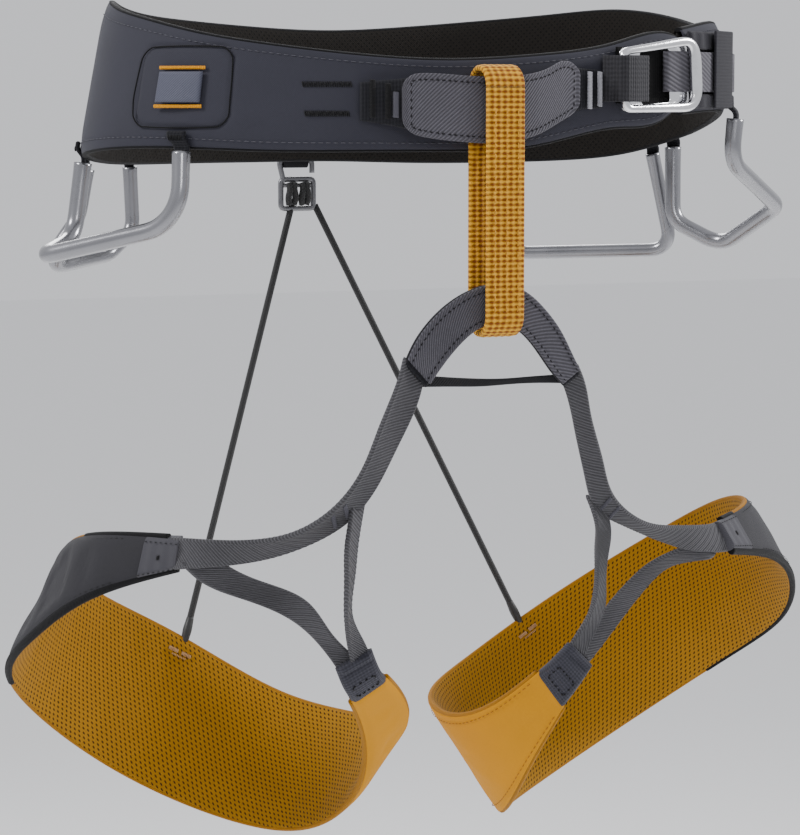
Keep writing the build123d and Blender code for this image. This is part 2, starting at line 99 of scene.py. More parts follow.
OUTER_ARM = {
    "right": ([(-70.5, -122, -111.5), (-79, -121, -133), (-85, -117, -150), (-97, -111, -168),
               (-111, -103, -178), (-125, -92, -181), (-144.5, -75.5, -181)],
              [(-60.5, -120, -121), (-69, -115, -143), (-77, -111, -161), (-85, -103, -174),
               (-103, -93, -185), (-122, -84, -191), (-144, -72, -194.5)]),
    "left": ([(15.5, -122, -117.5), (19, -122, -133), (27, -118, -153), (33, -115, -167), (50, -110, -181),
              (74, -100, -186), (99.5, -87, -188)],
             [(7.5, -120, -122.5), (14, -116, -140), (21, -112, -160), (27, -109, -173), (45, -102, -183),
              (68, -93, -193), (98, -86, -201)]),
}
INNER_ARM = {
    "right": ([(-80, -104.5, -171), (-81, -102, -182), (-80, -97, -198), (-79, -92, -216),
               (-72, -88.5, -228)],
              [(-88, -109.5, -175), (-89, -110, -183), (-88, -107, -196), (-86, -101, -212),
               (-82, -94, -226)]),
    "left": ([(35, -107, -180), (43, -94, -194), (49, -79, -212), (53, -69, -228), (51, -64.5, -239)],
             [(25.5, -112, -177), (32, -102, -191), (39, -89, -210), (43, -76, -227), (42, -68.5, -235)]),
}
CROSS_ARM = {
    "right": ([(-125, -79, -195.5), (-113, -83, -201), (-97, -87, -209), (-84, -85.5, -224.5)],
              [(-141, -74, -199), (-122, -79, -208), (-104, -82, -216), (-86, -80, -232)]),
    "left": ([(86, -86, -197.5), (73, -79, -205), (64, -72, -215), (55.5, -63, -231)],
             [(99, -86, -204), (87, -78, -206), (76, -71, -217), (60, -60, -243)]),
}
TAB = {
    "right": ([(-69, -91.5, -230.5), (-65, -90, -239)], [(-84, -86.5, -239), (-80, -85.5, -247.5)]),
    "left": ([(38, -67.5, -240), (32, -64.5, -247)], [(52, -62.5, -252), (44, -63.5, -262)]),
}
GEAR_PATH = {
    "front_right": ([(-138.5, -52.5, -22), (-141, -57, -52), (-181, 3, -67), (-158, 29, -61),
                     (-153, 30, -28)],
                    [19, 8, 13], 7.6),
    "front_left": ([(129, -54, -9), (127, -54, -28), (172, -22, -50), (165, 17, -70), (146, 31, -58),
                    (147, 33, -23)], [12, 10, 12, 10], 7.6),
    "rear_right": ([(-113, 80, -31), (-111, 82, -60), (-125, 76, -71), (-169, 40, -75), (-151, 42, -52),
                    (-147, 42, -31)], [8, 10, 8, 12], 6.6),
    "rear_left": ([(143, 46, -26), (155, 47, -73), (93, 104, -76), (88, 97, -32)], [8, 10], 6.6),
}
BACK_X, HOOK_Y, RISER_TOP = -17.0, 112.6, -54.6
RISER_AT = {"right": 0.5, "left": 0.55}
RISER_HEAD = {"right": (-19.5, HOOK_Y, RISER_TOP), "left": (-4.5, HOOK_Y, RISER_TOP)}
RISER_CORD, SLEEVE_LONG, SLEEVE_CLEAR = 3.2, 10.0, 1.4
STRAP_LOW, STRAP_HIGH = 3.0, 20.5


# ================================================================ curves and surfaces, in millimetres
def unit(vectors):
    vectors = np.asarray(vectors, float)
    return vectors / np.maximum(np.linalg.norm(vectors, axis=-1, keepdims=True), 1e-9)


def natural_spline(knots, values, at):
    """Natural cubic spline through values at the knots, read at other places."""
    knots, values = np.asarray(knots, float), np.asarray(values, float)
    count = len(knots)
    gaps = np.diff(knots)
    system, right = np.eye(count), np.zeros_like(values)
    for i in range(1, count - 1):
        system[i, i - 1:i + 2] = gaps[i - 1], 2 * (gaps[i - 1] + gaps[i]), gaps[i]
        right[i] = 6 * ((values[i + 1] - values[i]) / gaps[i] - (values[i] - values[i - 1]) / gaps[i - 1])
    bends = np.linalg.solve(system, right)
    cell = np.clip(np.searchsorted(knots, at) - 1, 0, count - 2)
    width, before, after = gaps[cell], np.asarray(at) - knots[cell], knots[cell + 1] - np.asarray(at)
    if values.ndim > 1:
        width, before, after = width[:, None], before[:, None], after[:, None]
    return (bends[cell] * after ** 3 + bends[cell + 1] * before ** 3) / (6 * width) \
        + (values[cell] / width - bends[cell] * width / 6) * after \
        + (values[cell + 1] / width - bends[cell + 1] * width / 6) * before


def smooth_line(points, count, start=0.0, end=1.0):
    """Evenly spaced points on a smooth curve through the given ones, between two shares of its length."""
    points = np.asarray(points, float)
    knots = lengths_along(points)
    fine = natural_spline(knots, points, np.linspace(0, knots[-1], 600))
    lengths = lengths_along(fine)
    places = np.linspace(start, end, count) * lengths[-1]
    return read_along(lengths, fine, places)


def lengths_along(points):
    return np.r_[0, np.cumsum(np.linalg.norm(np.diff(points, axis=0), axis=1))]


def read_along(lengths, values, places):
    """Values given at lengths along a line, read at other places on it."""
    return np.stack([np.interp(places, lengths, column) for column in np.asarray(values, float).T], axis=1)


def eased(line, rounds):
    """The same line with its corners softened."""
    for _ in range(rounds):
        line[1:-1] = (line[:-2] + 2 * line[1:-1] + line[2:]) / 4
    return line


def hump(values, centre, width):
    return np.exp(-((values - centre) / width) ** 2)


def rim_share(v, width):
    """0 along the middle of a strip and 1 at both of its long edges."""
    return np.abs(2 * v / width - 1)


def ribs(height, pitch):
    """Relief of ribs across a strip."""
    return lambda u, v, width: height * np.sin(2 * np.pi * u / pitch)


def rails(first_points, second_points, count, facing=1, start=0.0, end=1.0):
    """Two smooth edges and the face normal between them, as the CAD bands have them."""
    first = smooth_line(first_points, count, start, end)
    second = smooth_line(second_points, count, start, end)
    along = np.gradient(first, axis=0) + np.gradient(second, axis=0)
    return first, second, unit(np.cross(second - first, along)) * facing


def belt_angles(count, start=BELT_START, end=BELT_END):
    return np.linspace(start, end, count)


def belt_edges(angles):
    at, lower, upper = np.array(BELT_EDGES, float).T
    return natural_spline(at, lower, angles), natural_spline(at, upper, angles)


def belt_surface(angles, heights):
    """Points on the belt's outer surface, before its padding is rounded."""
    turn = np.radians(angles)
    lean = HIP_LEAN * np.maximum(heights, 0) * np.sin(turn) ** 2
    away = np.minimum(90, 2.2 * np.abs(angles - BELT_PULL_AT))
    pull = 1 - BELT_PULL * np.maximum(0, np.cos(np.radians(away)))
    spread_out = BELT_FLARE * np.maximum(0, -np.sin(turn)) ** 4 * (1 - heights / 75)
    x = (BELT_X - lean + spread_out) * np.sin(turn) * pull
    return np.stack([x, -(BELT_Y - 0.3 * lean) * np.cos(turn) * pull, heights + 0 * turn], axis=-1)


def belt_normals(angles):
    turn = np.radians(angles)
    return unit(np.stack([np.sin(turn) / BELT_X, -np.cos(turn) / BELT_Y, 0 * turn], axis=-1))


def belt_rails(count, start=BELT_START, end=BELT_END, low=None, high=None):
    """Upper edge, lower edge and outward normal of the belt, or of a stretch of it between two heights."""
    angles = belt_angles(count, start, end)
    lower, upper = belt_edges(angles)
    lower = lower if low is None else 0 * angles + low
    upper = upper if high is None else 0 * angles + high
    return belt_surface(angles, upper), belt_surface(angles, lower), belt_normals(angles)


def parallel_frames(points, hint=(0.0, 0.0, 1.0)):
    """Tangents and two cross directions that don't twist along a line."""
    tangents = unit(np.gradient(points, axis=0))
    side = np.asarray(hint, float)
    if abs(np.dot(side, tangents[0])) > 0.9:
        side = np.array([1.0, 0.0, 0.0])
    sides = []
    for tangent in tangents:
        side = side - tangent * np.dot(side, tangent)
        side = side / np.linalg.norm(side)
        sides.append(side)
    sides = np.array(sides)
    return tangents, sides, np.cross(tangents, sides)


def rounded_route(points, radii, step=1.5):
    """A route of straight runs joined by arcs, as evenly spaced points."""
    points = np.asarray(points, float)
    line = [points[0]]
    for i, radius in enumerate(radii, 1):
        back, ahead = unit(points[i - 1] - points[i]), unit(points[i + 1] - points[i])
        half = math.acos(np.clip(np.dot(back, ahead), -1, 1)) / 2
        centre = points[i] + unit(back + ahead) * radius / math.sin(half)
        start, end = points[i] + back * radius / math.tan(half), points[i] + ahead * radius / math.tan(half)
        first, second = start - centre, end - centre
        turn = math.acos(np.clip(np.dot(first, second) / radius ** 2, -1, 1))
        for share in np.linspace(0, 1, 14):
            line.append(centre + (first * math.sin((1 - share) * turn) + second * math.sin(share * turn))
                        / math.sin(turn))
    line.append(points[-1])
    line = np.array(line)
    lengths = lengths_along(line)
    return read_along(lengths, line, np.linspace(0, lengths[-1], max(8, int(lengths[-1] / step))))


# ================================================================ mesh building
def make_object(name, verts, faces, material, body, uvs=None, replaces=(), flat_faces=0):
    """A mesh object from millimetre points, riding on a body, in a material of MATERIAL."""
    mesh = bpy.data.meshes.new(name)
    mesh.from_pydata((np.asarray(verts) * MM).tolist(), [], [list(map(int, face)) for face in faces])
    smooth = np.ones(len(mesh.polygons), bool)
    if flat_faces:
        smooth[-flat_faces:] = False
    mesh.polygons.foreach_set("use_smooth", smooth)
    if uvs is not None:
        layer = mesh.uv_layers.new(name="UVMap")
        corners = np.zeros(len(mesh.loops), np.int64)
        mesh.loops.foreach_get("vertex_index", corners)
        layer.data.foreach_set("uv", (np.asarray(uvs, float) * MM)[corners].ravel())
    mesh.validate()
    mesh.update()
    piece = bpy.data.objects.new(name, mesh)
    bpy.context.scene.collection.objects.link(piece)
    piece.data.materials.append(MATERIAL[material])
    if body:
        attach(piece, body)
    if replaces:
        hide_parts(*replaces)
    return piece


def grid_faces(rows, columns, closed_rows=False, closed_columns=True):
    """Quads over a grid of vertices numbered row by row."""
    row = np.arange(rows if closed_rows else rows - 1)[:, None]
    column = np.arange(columns if closed_columns else columns - 1)[None, :]
    next_row, next_column = (row + 1) % rows, (column + 1) % columns
    quads = np.stack([row * columns + column, row * columns + next_column,
                      next_row * columns + next_column, next_row * columns + column], axis=-1)
    return quads.reshape(-1, 4)


def strip_mesh(first, second, normals, outer, inner, across=20, shift=None, relief=None, taper=0.0,
               closed=False, ends=0.5):
    """Vertices, faces and UVs of a closed flat strip with rounded edges.

    outer and inner are its faces' depths along the normals. shift(u, v) moves both faces,
    relief(u, v) raises each face outward, and taper thins it towards its long edges.
    """
    first, second, normals = (np.asarray(part, float) for part in (first, second, normals))
    rows = len(first)
    middle, span = (first + second) / 2, second - first
    width = np.linalg.norm(span, axis=1)
    half = abs(outer - inner) / 2
    thick = np.full(rows, half)
    if not closed:
        thick[[0, -1]] *= ends
    along = lengths_along(middle)
    inset = np.minimum(half / np.maximum(width / 2, 1e-6), 0.45)
    flat = np.linspace(-1, 1, across)
    bend = np.radians([60.0, 25.0, -25.0, -60.0])
    place = np.r_[flat, np.ones(4), flat[::-1], -np.ones(4)]
    bulge = np.r_[np.zeros(across), np.cos(bend), np.zeros(across), -np.cos(bend)]
    height = np.r_[np.ones(across), np.sin(bend), -np.ones(across), -np.sin(bend)]
    w = place[None, :] * (1 - inset[:, None]) + bulge[None, :] * inset[:, None]
    v = (w + 1) / 2 * width[:, None]
    u = np.repeat(along[:, None], len(place), axis=1)
    thin = 1 - taper * np.abs(place[None, :]) ** 6
    depth = (outer + inner) / 2 + height[None, :] * thick[:, None] * thin
    if shift is not None:
        depth = depth + shift(u, v, width[:, None])
    if relief is not None:
        depth = depth + np.sign(height)[None, :] * relief(u, v, width[:, None]) * (bulge == 0)[None, :]
    verts = middle[:, None] + span[:, None] * (w / 2)[:, :, None] + normals[:, None] * depth[:, :, None]
    faces = grid_faces(rows, len(place), closed)
    flipped = np.dot(np.cross(span[rows // 2], middle[min(rows // 2 + 1, rows - 1)] - middle[rows // 2]),
                     normals[rows // 2]) > 0
    if flipped:
        faces = faces[:, ::-1]
    faces = faces.tolist()
    caps = 0
    if not closed:
        start = list(range(len(place)))
        end = [(rows - 1) * len(place) + k for k in start]
        faces += [start[::-1], end] if not flipped else [start, end[::-1]]
        caps = 2
    uvs = np.stack([u, v], axis=-1).reshape(-1, 2)
    return verts.reshape(-1, 3), faces, uvs, caps


def strip(name, first, second, normals, outer, inner, material, body, replaces=(), slot=None, **shape):
    verts, faces, uvs, caps = strip_mesh(first, second, normals, outer, inner, **shape)
    return make_object(name, verts, faces, material, body, uvs, replaces, flat_faces=caps)


def tube_mesh(points, radius, sides=12, closed=False, hint=(0, 0, 1), flatten=1.0):
    """Vertices, faces and UVs of a round tube along points; radius may vary along it."""
    points = np.asarray(points, float)
    if closed:
        wrapped = np.vstack([points[-2:], points, points[:2]])
        tangents, side, over = (part[2:-2] for part in parallel_frames(wrapped, hint))
    else:
        tangents, side, over = parallel_frames(points, hint)
    radius = np.broadcast_to(np.asarray(radius, float), (len(points),))
    turn = np.linspace(0, 2 * np.pi, sides, endpoint=False)
    ring = side[:, None] * np.cos(turn)[None, :, None] + over[:, None] * np.sin(turn)[None, :, None] * flatten
    verts = (points[:, None] + ring * radius[:, None, None]).reshape(-1, 3)
    faces = grid_faces(len(points), sides, closed).tolist()
    if not closed:
        faces += [list(range(sides))[::-1], [(len(points) - 1) * sides + k for k in range(sides)]]
    along = np.repeat(lengths_along(points)[:, None], sides, axis=1)
    around = np.repeat((turn * radius.mean())[None, :], len(points), axis=0)
    return verts, faces, np.stack([along, around], axis=-1).reshape(-1, 2)


def tube(name, points, radius, material, body, replaces=(), slot=None, **shape):
    verts, faces, uvs = tube_mesh(points, radius, **shape)
    return make_object(name, verts, faces, material, body, uvs, replaces,
                       flat_faces=0 if shape.get("closed") else 2)


def joined(parts):
    """Several (verts, faces, uvs) meshes as one."""
    verts, faces, uvs, base = [], [], [], 0
    for part in parts:
        verts.append(part[0])
        faces += [[index + base for index in face] for face in part[1]]
        uvs.append(part[2])
        base += len(part[0])
    return np.vstack(verts), faces, np.vstack(uvs)


def build(name, parts, material, body, replaces=()):
    """One object from several (verts, faces, uvs) meshes."""
    verts, faces, uvs = joined(parts)
    return make_object(name, verts, faces, material, body, uvs, replaces)


def stitch_mesh(starts, ends, normals, radius, lift=0.35):
    """Small plump threads from each start to each end, lying on the cloth."""
    starts, ends, normals = (np.asarray(part, float) for part in (starts, ends, normals))
    along = ends - starts
    side = unit(np.cross(along, normals))
    profile = [(0.0, 0.35, -0.5), (0.15, 0.85, 0.1), (0.5, 1.0, 0.35), (0.85, 0.85, 0.1), (1.0, 0.35, -0.5)]
    turn = np.linspace(0, 2 * np.pi, 6, endpoint=False)
    rings = []
    for share, size, rise in profile:
        centre = starts + along * share + normals * radius * (lift + rise)
        ring = centre[:, None] + side[:, None] * (np.cos(turn) * size * radius)[None, :, None] \
            + normals[:, None] * (np.sin(turn) * size * radius)[None, :, None]
        rings.append(ring)
    verts = np.stack(rings, axis=1)
    count, size = len(starts), len(profile) * len(turn)
    one = grid_faces(len(profile), len(turn))
    faces = (one[None] + (np.arange(count) * size)[:, None, None]).reshape(-1, 4).tolist()
    for k in range(count):
        faces.append([k * size + j for j in range(5, -1, -1)])
        faces.append([k * size + size - 6 + j for j in range(6)])
    verts = verts.reshape(-1, 3)
    return verts, faces, verts[:, :2]


def stitch_row(points, normals, stitch=2.2, gap=0.9, radius=0.28):
    """Thread starts, ends and normals for a running stitch along a line."""
    lengths = lengths_along(points)
    count = max(1, int((lengths[-1] - stitch) / (stitch + gap)))
    begin = np.linspace(gap / 2, lengths[-1] - stitch - gap / 2, count)
    facing = unit(read_along(lengths, normals, begin + stitch / 2))
    return stitch_mesh(read_along(lengths, points, begin), read_along(lengths, points, begin + stitch),
                       facing, radius)


def edge_rows(first, second, normals, inset, stand, *thread):
    """A row of stitches beside each edge of a band, inset by a share of its width."""
    lines = (first + (second - first) * share + normals * stand for share in (inset, 1 - inset))
    return [stitch_row(line, normals, *thread) for line in lines]


def narrowed(first, second, share):
    return first + (second - first) * share, second + (first - second) * share


def bar_tack(centre, long_way, wide_way, normal, length, width, threads, radius=0.32):
    """A dense bar of side-by-side threads."""
    centre, long_way, wide_way = np.asarray(centre, float), unit(long_way), unit(wide_way)
    offsets = np.linspace(-length / 2, length / 2, threads)
    starts = centre + long_way * offsets[:, None] - wide_way * width / 2
    ends = centre + long_way * (offsets + 0.25)[:, None] + wide_way * width / 2
    return stitch_mesh(starts, ends, np.repeat([unit(normal)], threads, axis=0), radius)


# ================================================================ materials
def new_material(name):
    material = bpy.data.materials.new(name)
    material.use_nodes = True
    tree = material.node_tree
    tree.nodes.clear()
    output = tree.nodes.new("ShaderNodeOutputMaterial")
    shader = tree.nodes.new("ShaderNodeBsdfPrincipled")
    tree.links.new(shader.outputs[0], output.inputs[0])
    return material, tree, shader


def put(tree, socket, value):
    """Link a socket or set its value."""
    if isinstance(value, bpy.types.NodeSocket):
        tree.links.new(value, socket)
    else:
        socket.default_value = value


def calc(tree, operation, *values):
    node = tree.nodes.new("ShaderNodeMath")
    node.operation = operation
    for socket, value in zip(node.inputs, values):
        put(tree, socket, value)
    return node.outputs[0]


def mix_colour(tree, share, first, second):
    node = tree.nodes.new("ShaderNodeMix")
    node.data_type = "RGBA"
    put(tree, node.inputs[0], share)
    put(tree, node.inputs[6], first)
    put(tree, node.inputs[7], second)
    return node.outputs[2]


def noise(tree, scale, detail=3.0):
    node = tree.nodes.new("ShaderNodeTexNoise")
    place = tree.nodes.new("ShaderNodeTexCoord").outputs["Object"]
    set_inputs(tree, node, {"Scale": scale, "Detail": detail, "Roughness": 0.55, "Vector": place})
    return node.outputs[0]


def spread(tree, value, low, high):
    """Map a value's low..high to 0..1, clamped."""
    node = tree.nodes.new("ShaderNodeMapRange")
    for socket, number in zip(node.inputs, (value, low, high, 0.0, 1.0)):
        put(tree, socket, number)
    return node.outputs[0]


def set_inputs(tree, node, values):
    """Link or set several of a node's inputs by name."""
    for name, value in values.items():
        put(tree, node.inputs[name], value)


def set_bump(tree, shader, height, strength, distance):
    node = tree.nodes.new("ShaderNodeBump")
    set_inputs(tree, node, {"Strength": strength, "Distance": distance, "Height": height})
    tree.links.new(node.outputs[0], shader.inputs["Normal"])


def dimmer(colour, share):
    return tuple(min(1, part * share) for part in colour[:3]) + (1.0,)


def cloth_place(tree):
    """The cloth's own coordinates: u along the piece and v across it, in metres."""
    layer = tree.nodes.new("ShaderNodeUVMap")
    layer.uv_map = "UVMap"
    split = tree.nodes.new("ShaderNodeSeparateXYZ")
    tree.links.new(layer.outputs[0], split.inputs[0])
    return split.outputs[0], split.outputs[1]


def wave(tree, along, pitch_mm):
    """A sine of a length in metres, from 0 to 1."""
    turn = calc(tree, "MULTIPLY_ADD", along, 2 * math.pi / (pitch_mm * MM), 0.0)
    return calc(tree, "MULTIPLY_ADD", calc(tree, "SINE", turn), 0.5, 0.5)


DEEPEN, DEEPEN_POWER = 0.7, 1.3   # the studio light lifts every colour, so the dyes are set deeper


def rgba(red, green, blue):
    """A dye whose look on screen is given from 0 to 255, as linear light."""
    shares = [part / 255 for part in (red, green, blue)]
    linear = [part / 12.92 if part <= 10 / 255 else ((part + 0.055) / 1.055) ** 2.4 for part in shares]
    return (*[DEEPEN * part ** DEEPEN_POWER for part in linear], 1.0)


def weave_height(tree, weave, pitch):
    """Height of the woven surface, 0 to 1."""
    u, v = cloth_place(tree)
    if weave == "twill":
        return wave(tree, calc(tree, "MULTIPLY_ADD", u, 1.0, v), pitch)
    if weave == "steep twill":
        return wave(tree, calc(tree, "MULTIPLY_ADD", u, 0.45, v), pitch)
    if weave == "ribs":
        rib = wave(tree, u, pitch)
        column = wave(tree, v, pitch * 1.3)
        return calc(tree, "MULTIPLY_ADD", column, 0.4, calc(tree, "MULTIPLY", rib, 0.6))
    if weave == "plain":
        return calc(tree, "ABSOLUTE", calc(tree, "SUBTRACT", wave(tree, u, pitch), wave(tree, v, pitch)))
    raise ValueError(weave)


def fabric(name, light, dark, weave, pitch, bump=0.5, rough=0.85, sheen=0.2, mottle=0.35, marks=None):
    """A woven cloth. light and dark are the thread tops and the gaps between them, from 0 to 255."""
    light, dark = rgba(*light), rgba(*dark)
    material, tree, shader = new_material(name)
    height = weave_height(tree, weave, pitch)
    fuzz = noise(tree, 900.0, 2.0)
    patches = spread(tree, noise(tree, 28.0, 4.0), 0.3, 0.7)
    share = calc(tree, "MULTIPLY_ADD", height, 0.75, calc(tree, "MULTIPLY", fuzz, 0.35))
    colour = mix_colour(tree, share, dark, light)
    shade = mix_colour(tree, patches, dimmer(light, 1 - mottle * 0.5), dimmer(light, 1 + mottle * 0.35))
    colour = mix_colour(tree, 0.35, colour, shade)
    relief = calc(tree, "MULTIPLY_ADD", height, 0.8, calc(tree, "MULTIPLY", fuzz, 0.35))
    if marks:
        colour, relief = marks(tree, colour, relief)
    set_bump(tree, shader, relief, bump, 0.0004)
    set_inputs(tree, shader, {"Base Color": colour, "Roughness": rough, "Sheen Weight": sheen * 0.25,
                              "Sheen Roughness": 0.45, "Specular IOR Level": 0.2})
    return material


def slit_marks(tree, colour, relief):
    """Staggered rows of short slanted slits punched in the lining."""
    u, v = cloth_place(tree)
    along, across = 2.6 * MM, 1.95 * MM
    row = calc(tree, "FLOOR", calc(tree, "DIVIDE", v, across))
    step = calc(tree, "MULTIPLY", calc(tree, "MODULO", row, 2.0), 0.5)
    column = calc(tree, "ADD", calc(tree, "DIVIDE", u, along), step)
    x = calc(tree, "SUBTRACT", calc(tree, "FRACT", column), 0.5)
    y = calc(tree, "SUBTRACT", calc(tree, "FRACT", calc(tree, "DIVIDE", v, across)), 0.5)
    slanted = calc(tree, "MULTIPLY_ADD", x, 0.9, calc(tree, "MULTIPLY", y, 0.5))
    crossed = calc(tree, "MULTIPLY_ADD", y, 0.9, calc(tree, "MULTIPLY", x, -0.75))
    reach = calc(tree, "ADD", calc(tree, "POWER", calc(tree, "MULTIPLY", slanted, 2.5), 2.0),
                 calc(tree, "POWER", calc(tree, "MULTIPLY", crossed, 5.0), 2.0))
    hole = calc(tree, "SUBTRACT", 1.0, spread(tree, reach, 0.4, 1.25))
    colour = mix_colour(tree, hole, colour, rgba(74, 42, 4))
    return colour, calc(tree, "SUBTRACT", relief, calc(tree, "MULTIPLY", hole, 2.5))


def webbing_pit_shade(tree, colour, relief):
    """Painted shade: a darker orange in the pits where the ribs and the columns of thick webbing meet, which
    are also sunk in the relief.
    """
    u, v = cloth_place(tree)
    rows, columns = wave(tree, u, 2.1), wave(tree, v, 2.9)
    thread = calc(tree, "MULTIPLY_ADD", rows, 0.8, calc(tree, "MULTIPLY", columns, 0.55))
    pit_shade = calc(tree, "SUBTRACT", 1.35, thread)
    fuzz = calc(tree, "SUBTRACT", noise(tree, 520.0, 3.0), 0.5)
    ragged = calc(tree, "ADD", pit_shade, calc(tree, "MULTIPLY", fuzz, 1.3))
    pit_shade = spread(tree, ragged, 0.35, 1.25)
    # painted shade: the pits get a darker orange, and the relief sinks them
    return mix_colour(tree, pit_shade, colour, rgba(160, 96, 10)), calc(tree, "SUBTRACT", relief, pit_shade)


def mesh_marks(tree, colour, relief):
    """Small dark holes of a knitted mesh."""
    u, v = cloth_place(tree)
    hole = calc(tree, "MULTIPLY", wave(tree, calc(tree, "ADD", u, v), 2.9),
                wave(tree, calc(tree, "SUBTRACT", u, v), 2.9))
    hole = spread(tree, hole, 0.45, 0.8)
    return mix_colour(tree, hole, colour, rgba(14, 12, 11)), calc(tree, "SUBTRACT", relief, hole)


def metal(name, colour, rough, scratch=0.12):
    material, tree, shader = new_material(name)
    wear = spread(tree, noise(tree, 160.0, 5.0), 0.35, 0.75)
    set_inputs(tree, shader, {"Base Color": mix_colour(tree, wear, colour, dimmer(colour, 0.82)),
                              "Roughness": calc(tree, "MULTIPLY_ADD", wear, scratch, rough), "Metallic": 1.0})
    set_bump(tree, shader, noise(tree, 700.0, 2.0), 0.08, 0.0003)
    return material


def plastic(name, colour, rough, coat=0.0, metallic=0.0, speckle=260.0, bump=0.1):
    material, tree, shader = new_material(name)
    mottle = spread(tree, noise(tree, speckle, 4.0), 0.3, 0.7)
    set_inputs(tree, shader, {"Base Color": mix_colour(tree, mottle, dimmer(colour, 0.86), colour),
                              "Roughness": calc(tree, "MULTIPLY_ADD", mottle, 0.1, rough),
                              "Metallic": metallic, "Coat Weight": coat, "Coat Roughness": 0.12})
    set_bump(tree, shader, noise(tree, 420.0, 3.0), bump, 0.0003)
    return material


def cord_material(name, light, dark, pitch=1.6):
    """A braided round cord: two families of strands crossing."""
    material, tree, shader = new_material(name)
    u, v = cloth_place(tree)
    one = wave(tree, calc(tree, "MULTIPLY_ADD", u, 1.0, v), pitch)
    other = wave(tree, calc(tree, "MULTIPLY_ADD", u, -1.0, v), pitch)
    height = calc(tree, "MAXIMUM", one, other)
    set_inputs(tree, shader, {"Base Color": mix_colour(tree, height, dark, light), "Roughness": 0.7,
                              "Sheen Weight": 0.15})
    set_bump(tree, shader, height, 0.6, 0.0003)
    return material


FABRICS = {
    "belt_fabric": ((88, 88, 99), (66, 66, 75), "plain", 0.9, 0.25, 0.78, 0.3, 0.25),
    "belt_mesh": ((60, 55, 50), (32, 29, 27), "plain", 1.1, 0.6, 0.9, 0.05, 0.3, mesh_marks),
    "foam": ((70, 68, 66), (50, 49, 48), "plain", 1.4, 0.3, 0.95, 0.0),
    "load_webbing": ((92, 92, 98), (60, 60, 66), "twill", 1.6, 0.5),
    "tie_in_webbing": ((64, 64, 70), (30, 30, 34), "ribs", 1.4, 0.7),
    "wear_cover": ((130, 128, 136), (3, 3, 4), "twill", 1.7, 1.0, 0.8, 0.2, 0.5),
    # the belay webbing's darker pits are painted shade
    "belay_webbing": ((255, 204, 78), (196, 134, 24), "ribs", 2.1, 0.9, 0.75, 0.15, 0.35, webbing_pit_shade),
    "thin_webbing": ((66, 66, 70), (24, 24, 27), "twill", 1.2, 0.7),
    "strap_webbing": ((132, 130, 137), (62, 60, 66), "steep twill", 1.9, 0.8, 0.75),
    "guide_webbing": ((84, 83, 90), (48, 47, 53), "plain", 1.2, 0.5),
    "keeper_elastic": ((78, 77, 84), (34, 33, 38), "ribs", 1.1, 0.7),
    "leg_fabric": ((84, 83, 88), (58, 57, 61), "plain", 0.9, 0.3, 0.8, 0.25, 0.3),
    "thigh_fabric": ((234, 178, 16), (202, 142, 8), "plain", 0.8, 0.2, 0.8, 0.0, 0.22),
    "leg_lining": ((210, 162, 26), (152, 108, 10), "plain", 0.8, 0.35, 0.8, 0.15, 0.25, slit_marks),
    "arm_webbing": ((128, 127, 131), (3, 3, 4), "twill", 1.5, 1.0, 0.8, 0.2, 0.6),
    "anchor_webbing": ((62, 62, 68), (26, 26, 30), "ribs", 1.3, 0.8),
    "binding": ((38, 37, 41), (18, 17, 20), "twill", 1.0, 0.5),
    "gold_binding": ((206, 154, 26), (140, 94, 12), "twill", 1.0, 0.5),
    "orange_thread": ((255, 196, 40), (216, 140, 10), "ribs", 0.6, 0.5, 0.6, 0.2),
    "grey_thread": ((214, 214, 220), (120, 120, 126), "ribs", 0.6, 0.5, 0.55, 0.2),
    "black_thread": ((46, 45, 48), (18, 18, 20), "ribs", 0.6, 0.5, 0.6, 0.2),
    "gold_thread": ((250, 200, 90), (190, 130, 30), "ribs", 0.6, 0.5, 0.6, 0.2),
    "slate_thread": ((126, 125, 134), (70, 69, 76), "ribs", 0.6, 0.5, 0.6, 0.2),
    "slot_webbing": ((122, 124, 140), (74, 76, 88), "twill", 1.2, 0.3, 0.5, 0.2, 0.3),
    "cover_thread": ((52, 50, 56), (24, 23, 27), "ribs", 0.6, 0.5, 0.7, 0.1),
    "tab_webbing": ((100, 100, 110), (24, 24, 28), "ribs", 1.2, 0.8, 0.75, 0.2, 0.4),
    "patch_fabric": ((112, 111, 117), (84, 83, 89), "plain", 0.9, 0.3, 0.75, 0.3, 0.3),
    "seam_thread": ((190, 134, 36), (130, 84, 16), "ribs", 0.6, 0.5, 0.7, 0.1),
    "rust_thread": ((232, 200, 160), (150, 60, 30), "ribs", 0.6, 0.5, 0.6, 0.2),
    "backing": ((34, 33, 36), (14, 14, 16), "ribs", 1.3, 0.5, 0.9, 0.05),
    "dark_strap": ((84, 83, 88), (34, 33, 37), "ribs", 1.5, 0.8, 0.75, 0.2, 0.4),
}
MATERIAL = {name: fabric(name, *values) for name, values in FABRICS.items()}
MATERIAL.update({
    "aluminium": metal("aluminium", (0.82, 0.82, 0.84, 1.0), 0.13),
    "tube_plastic": plastic("tube_plastic", (0.25, 0.25, 0.268, 1.0), 0.22, coat=0.5, metallic=0.8,
                            speckle=40.0, bump=0.0),
    "tube_core": plastic("tube_core", (0.05, 0.05, 0.055, 1.0), 0.6),
    "elastic_cord": cord_material("elastic_cord", rgba(42, 41, 44), rgba(10, 10, 11)),
    "sleeve_rubber": plastic("sleeve_rubber", (0.012, 0.012, 0.013, 1.0), 0.45, bump=0.2),
    "hook_plastic": plastic("hook_plastic", (0.16, 0.16, 0.17, 1.0), 0.3, coat=0.3, metallic=0.7),
})


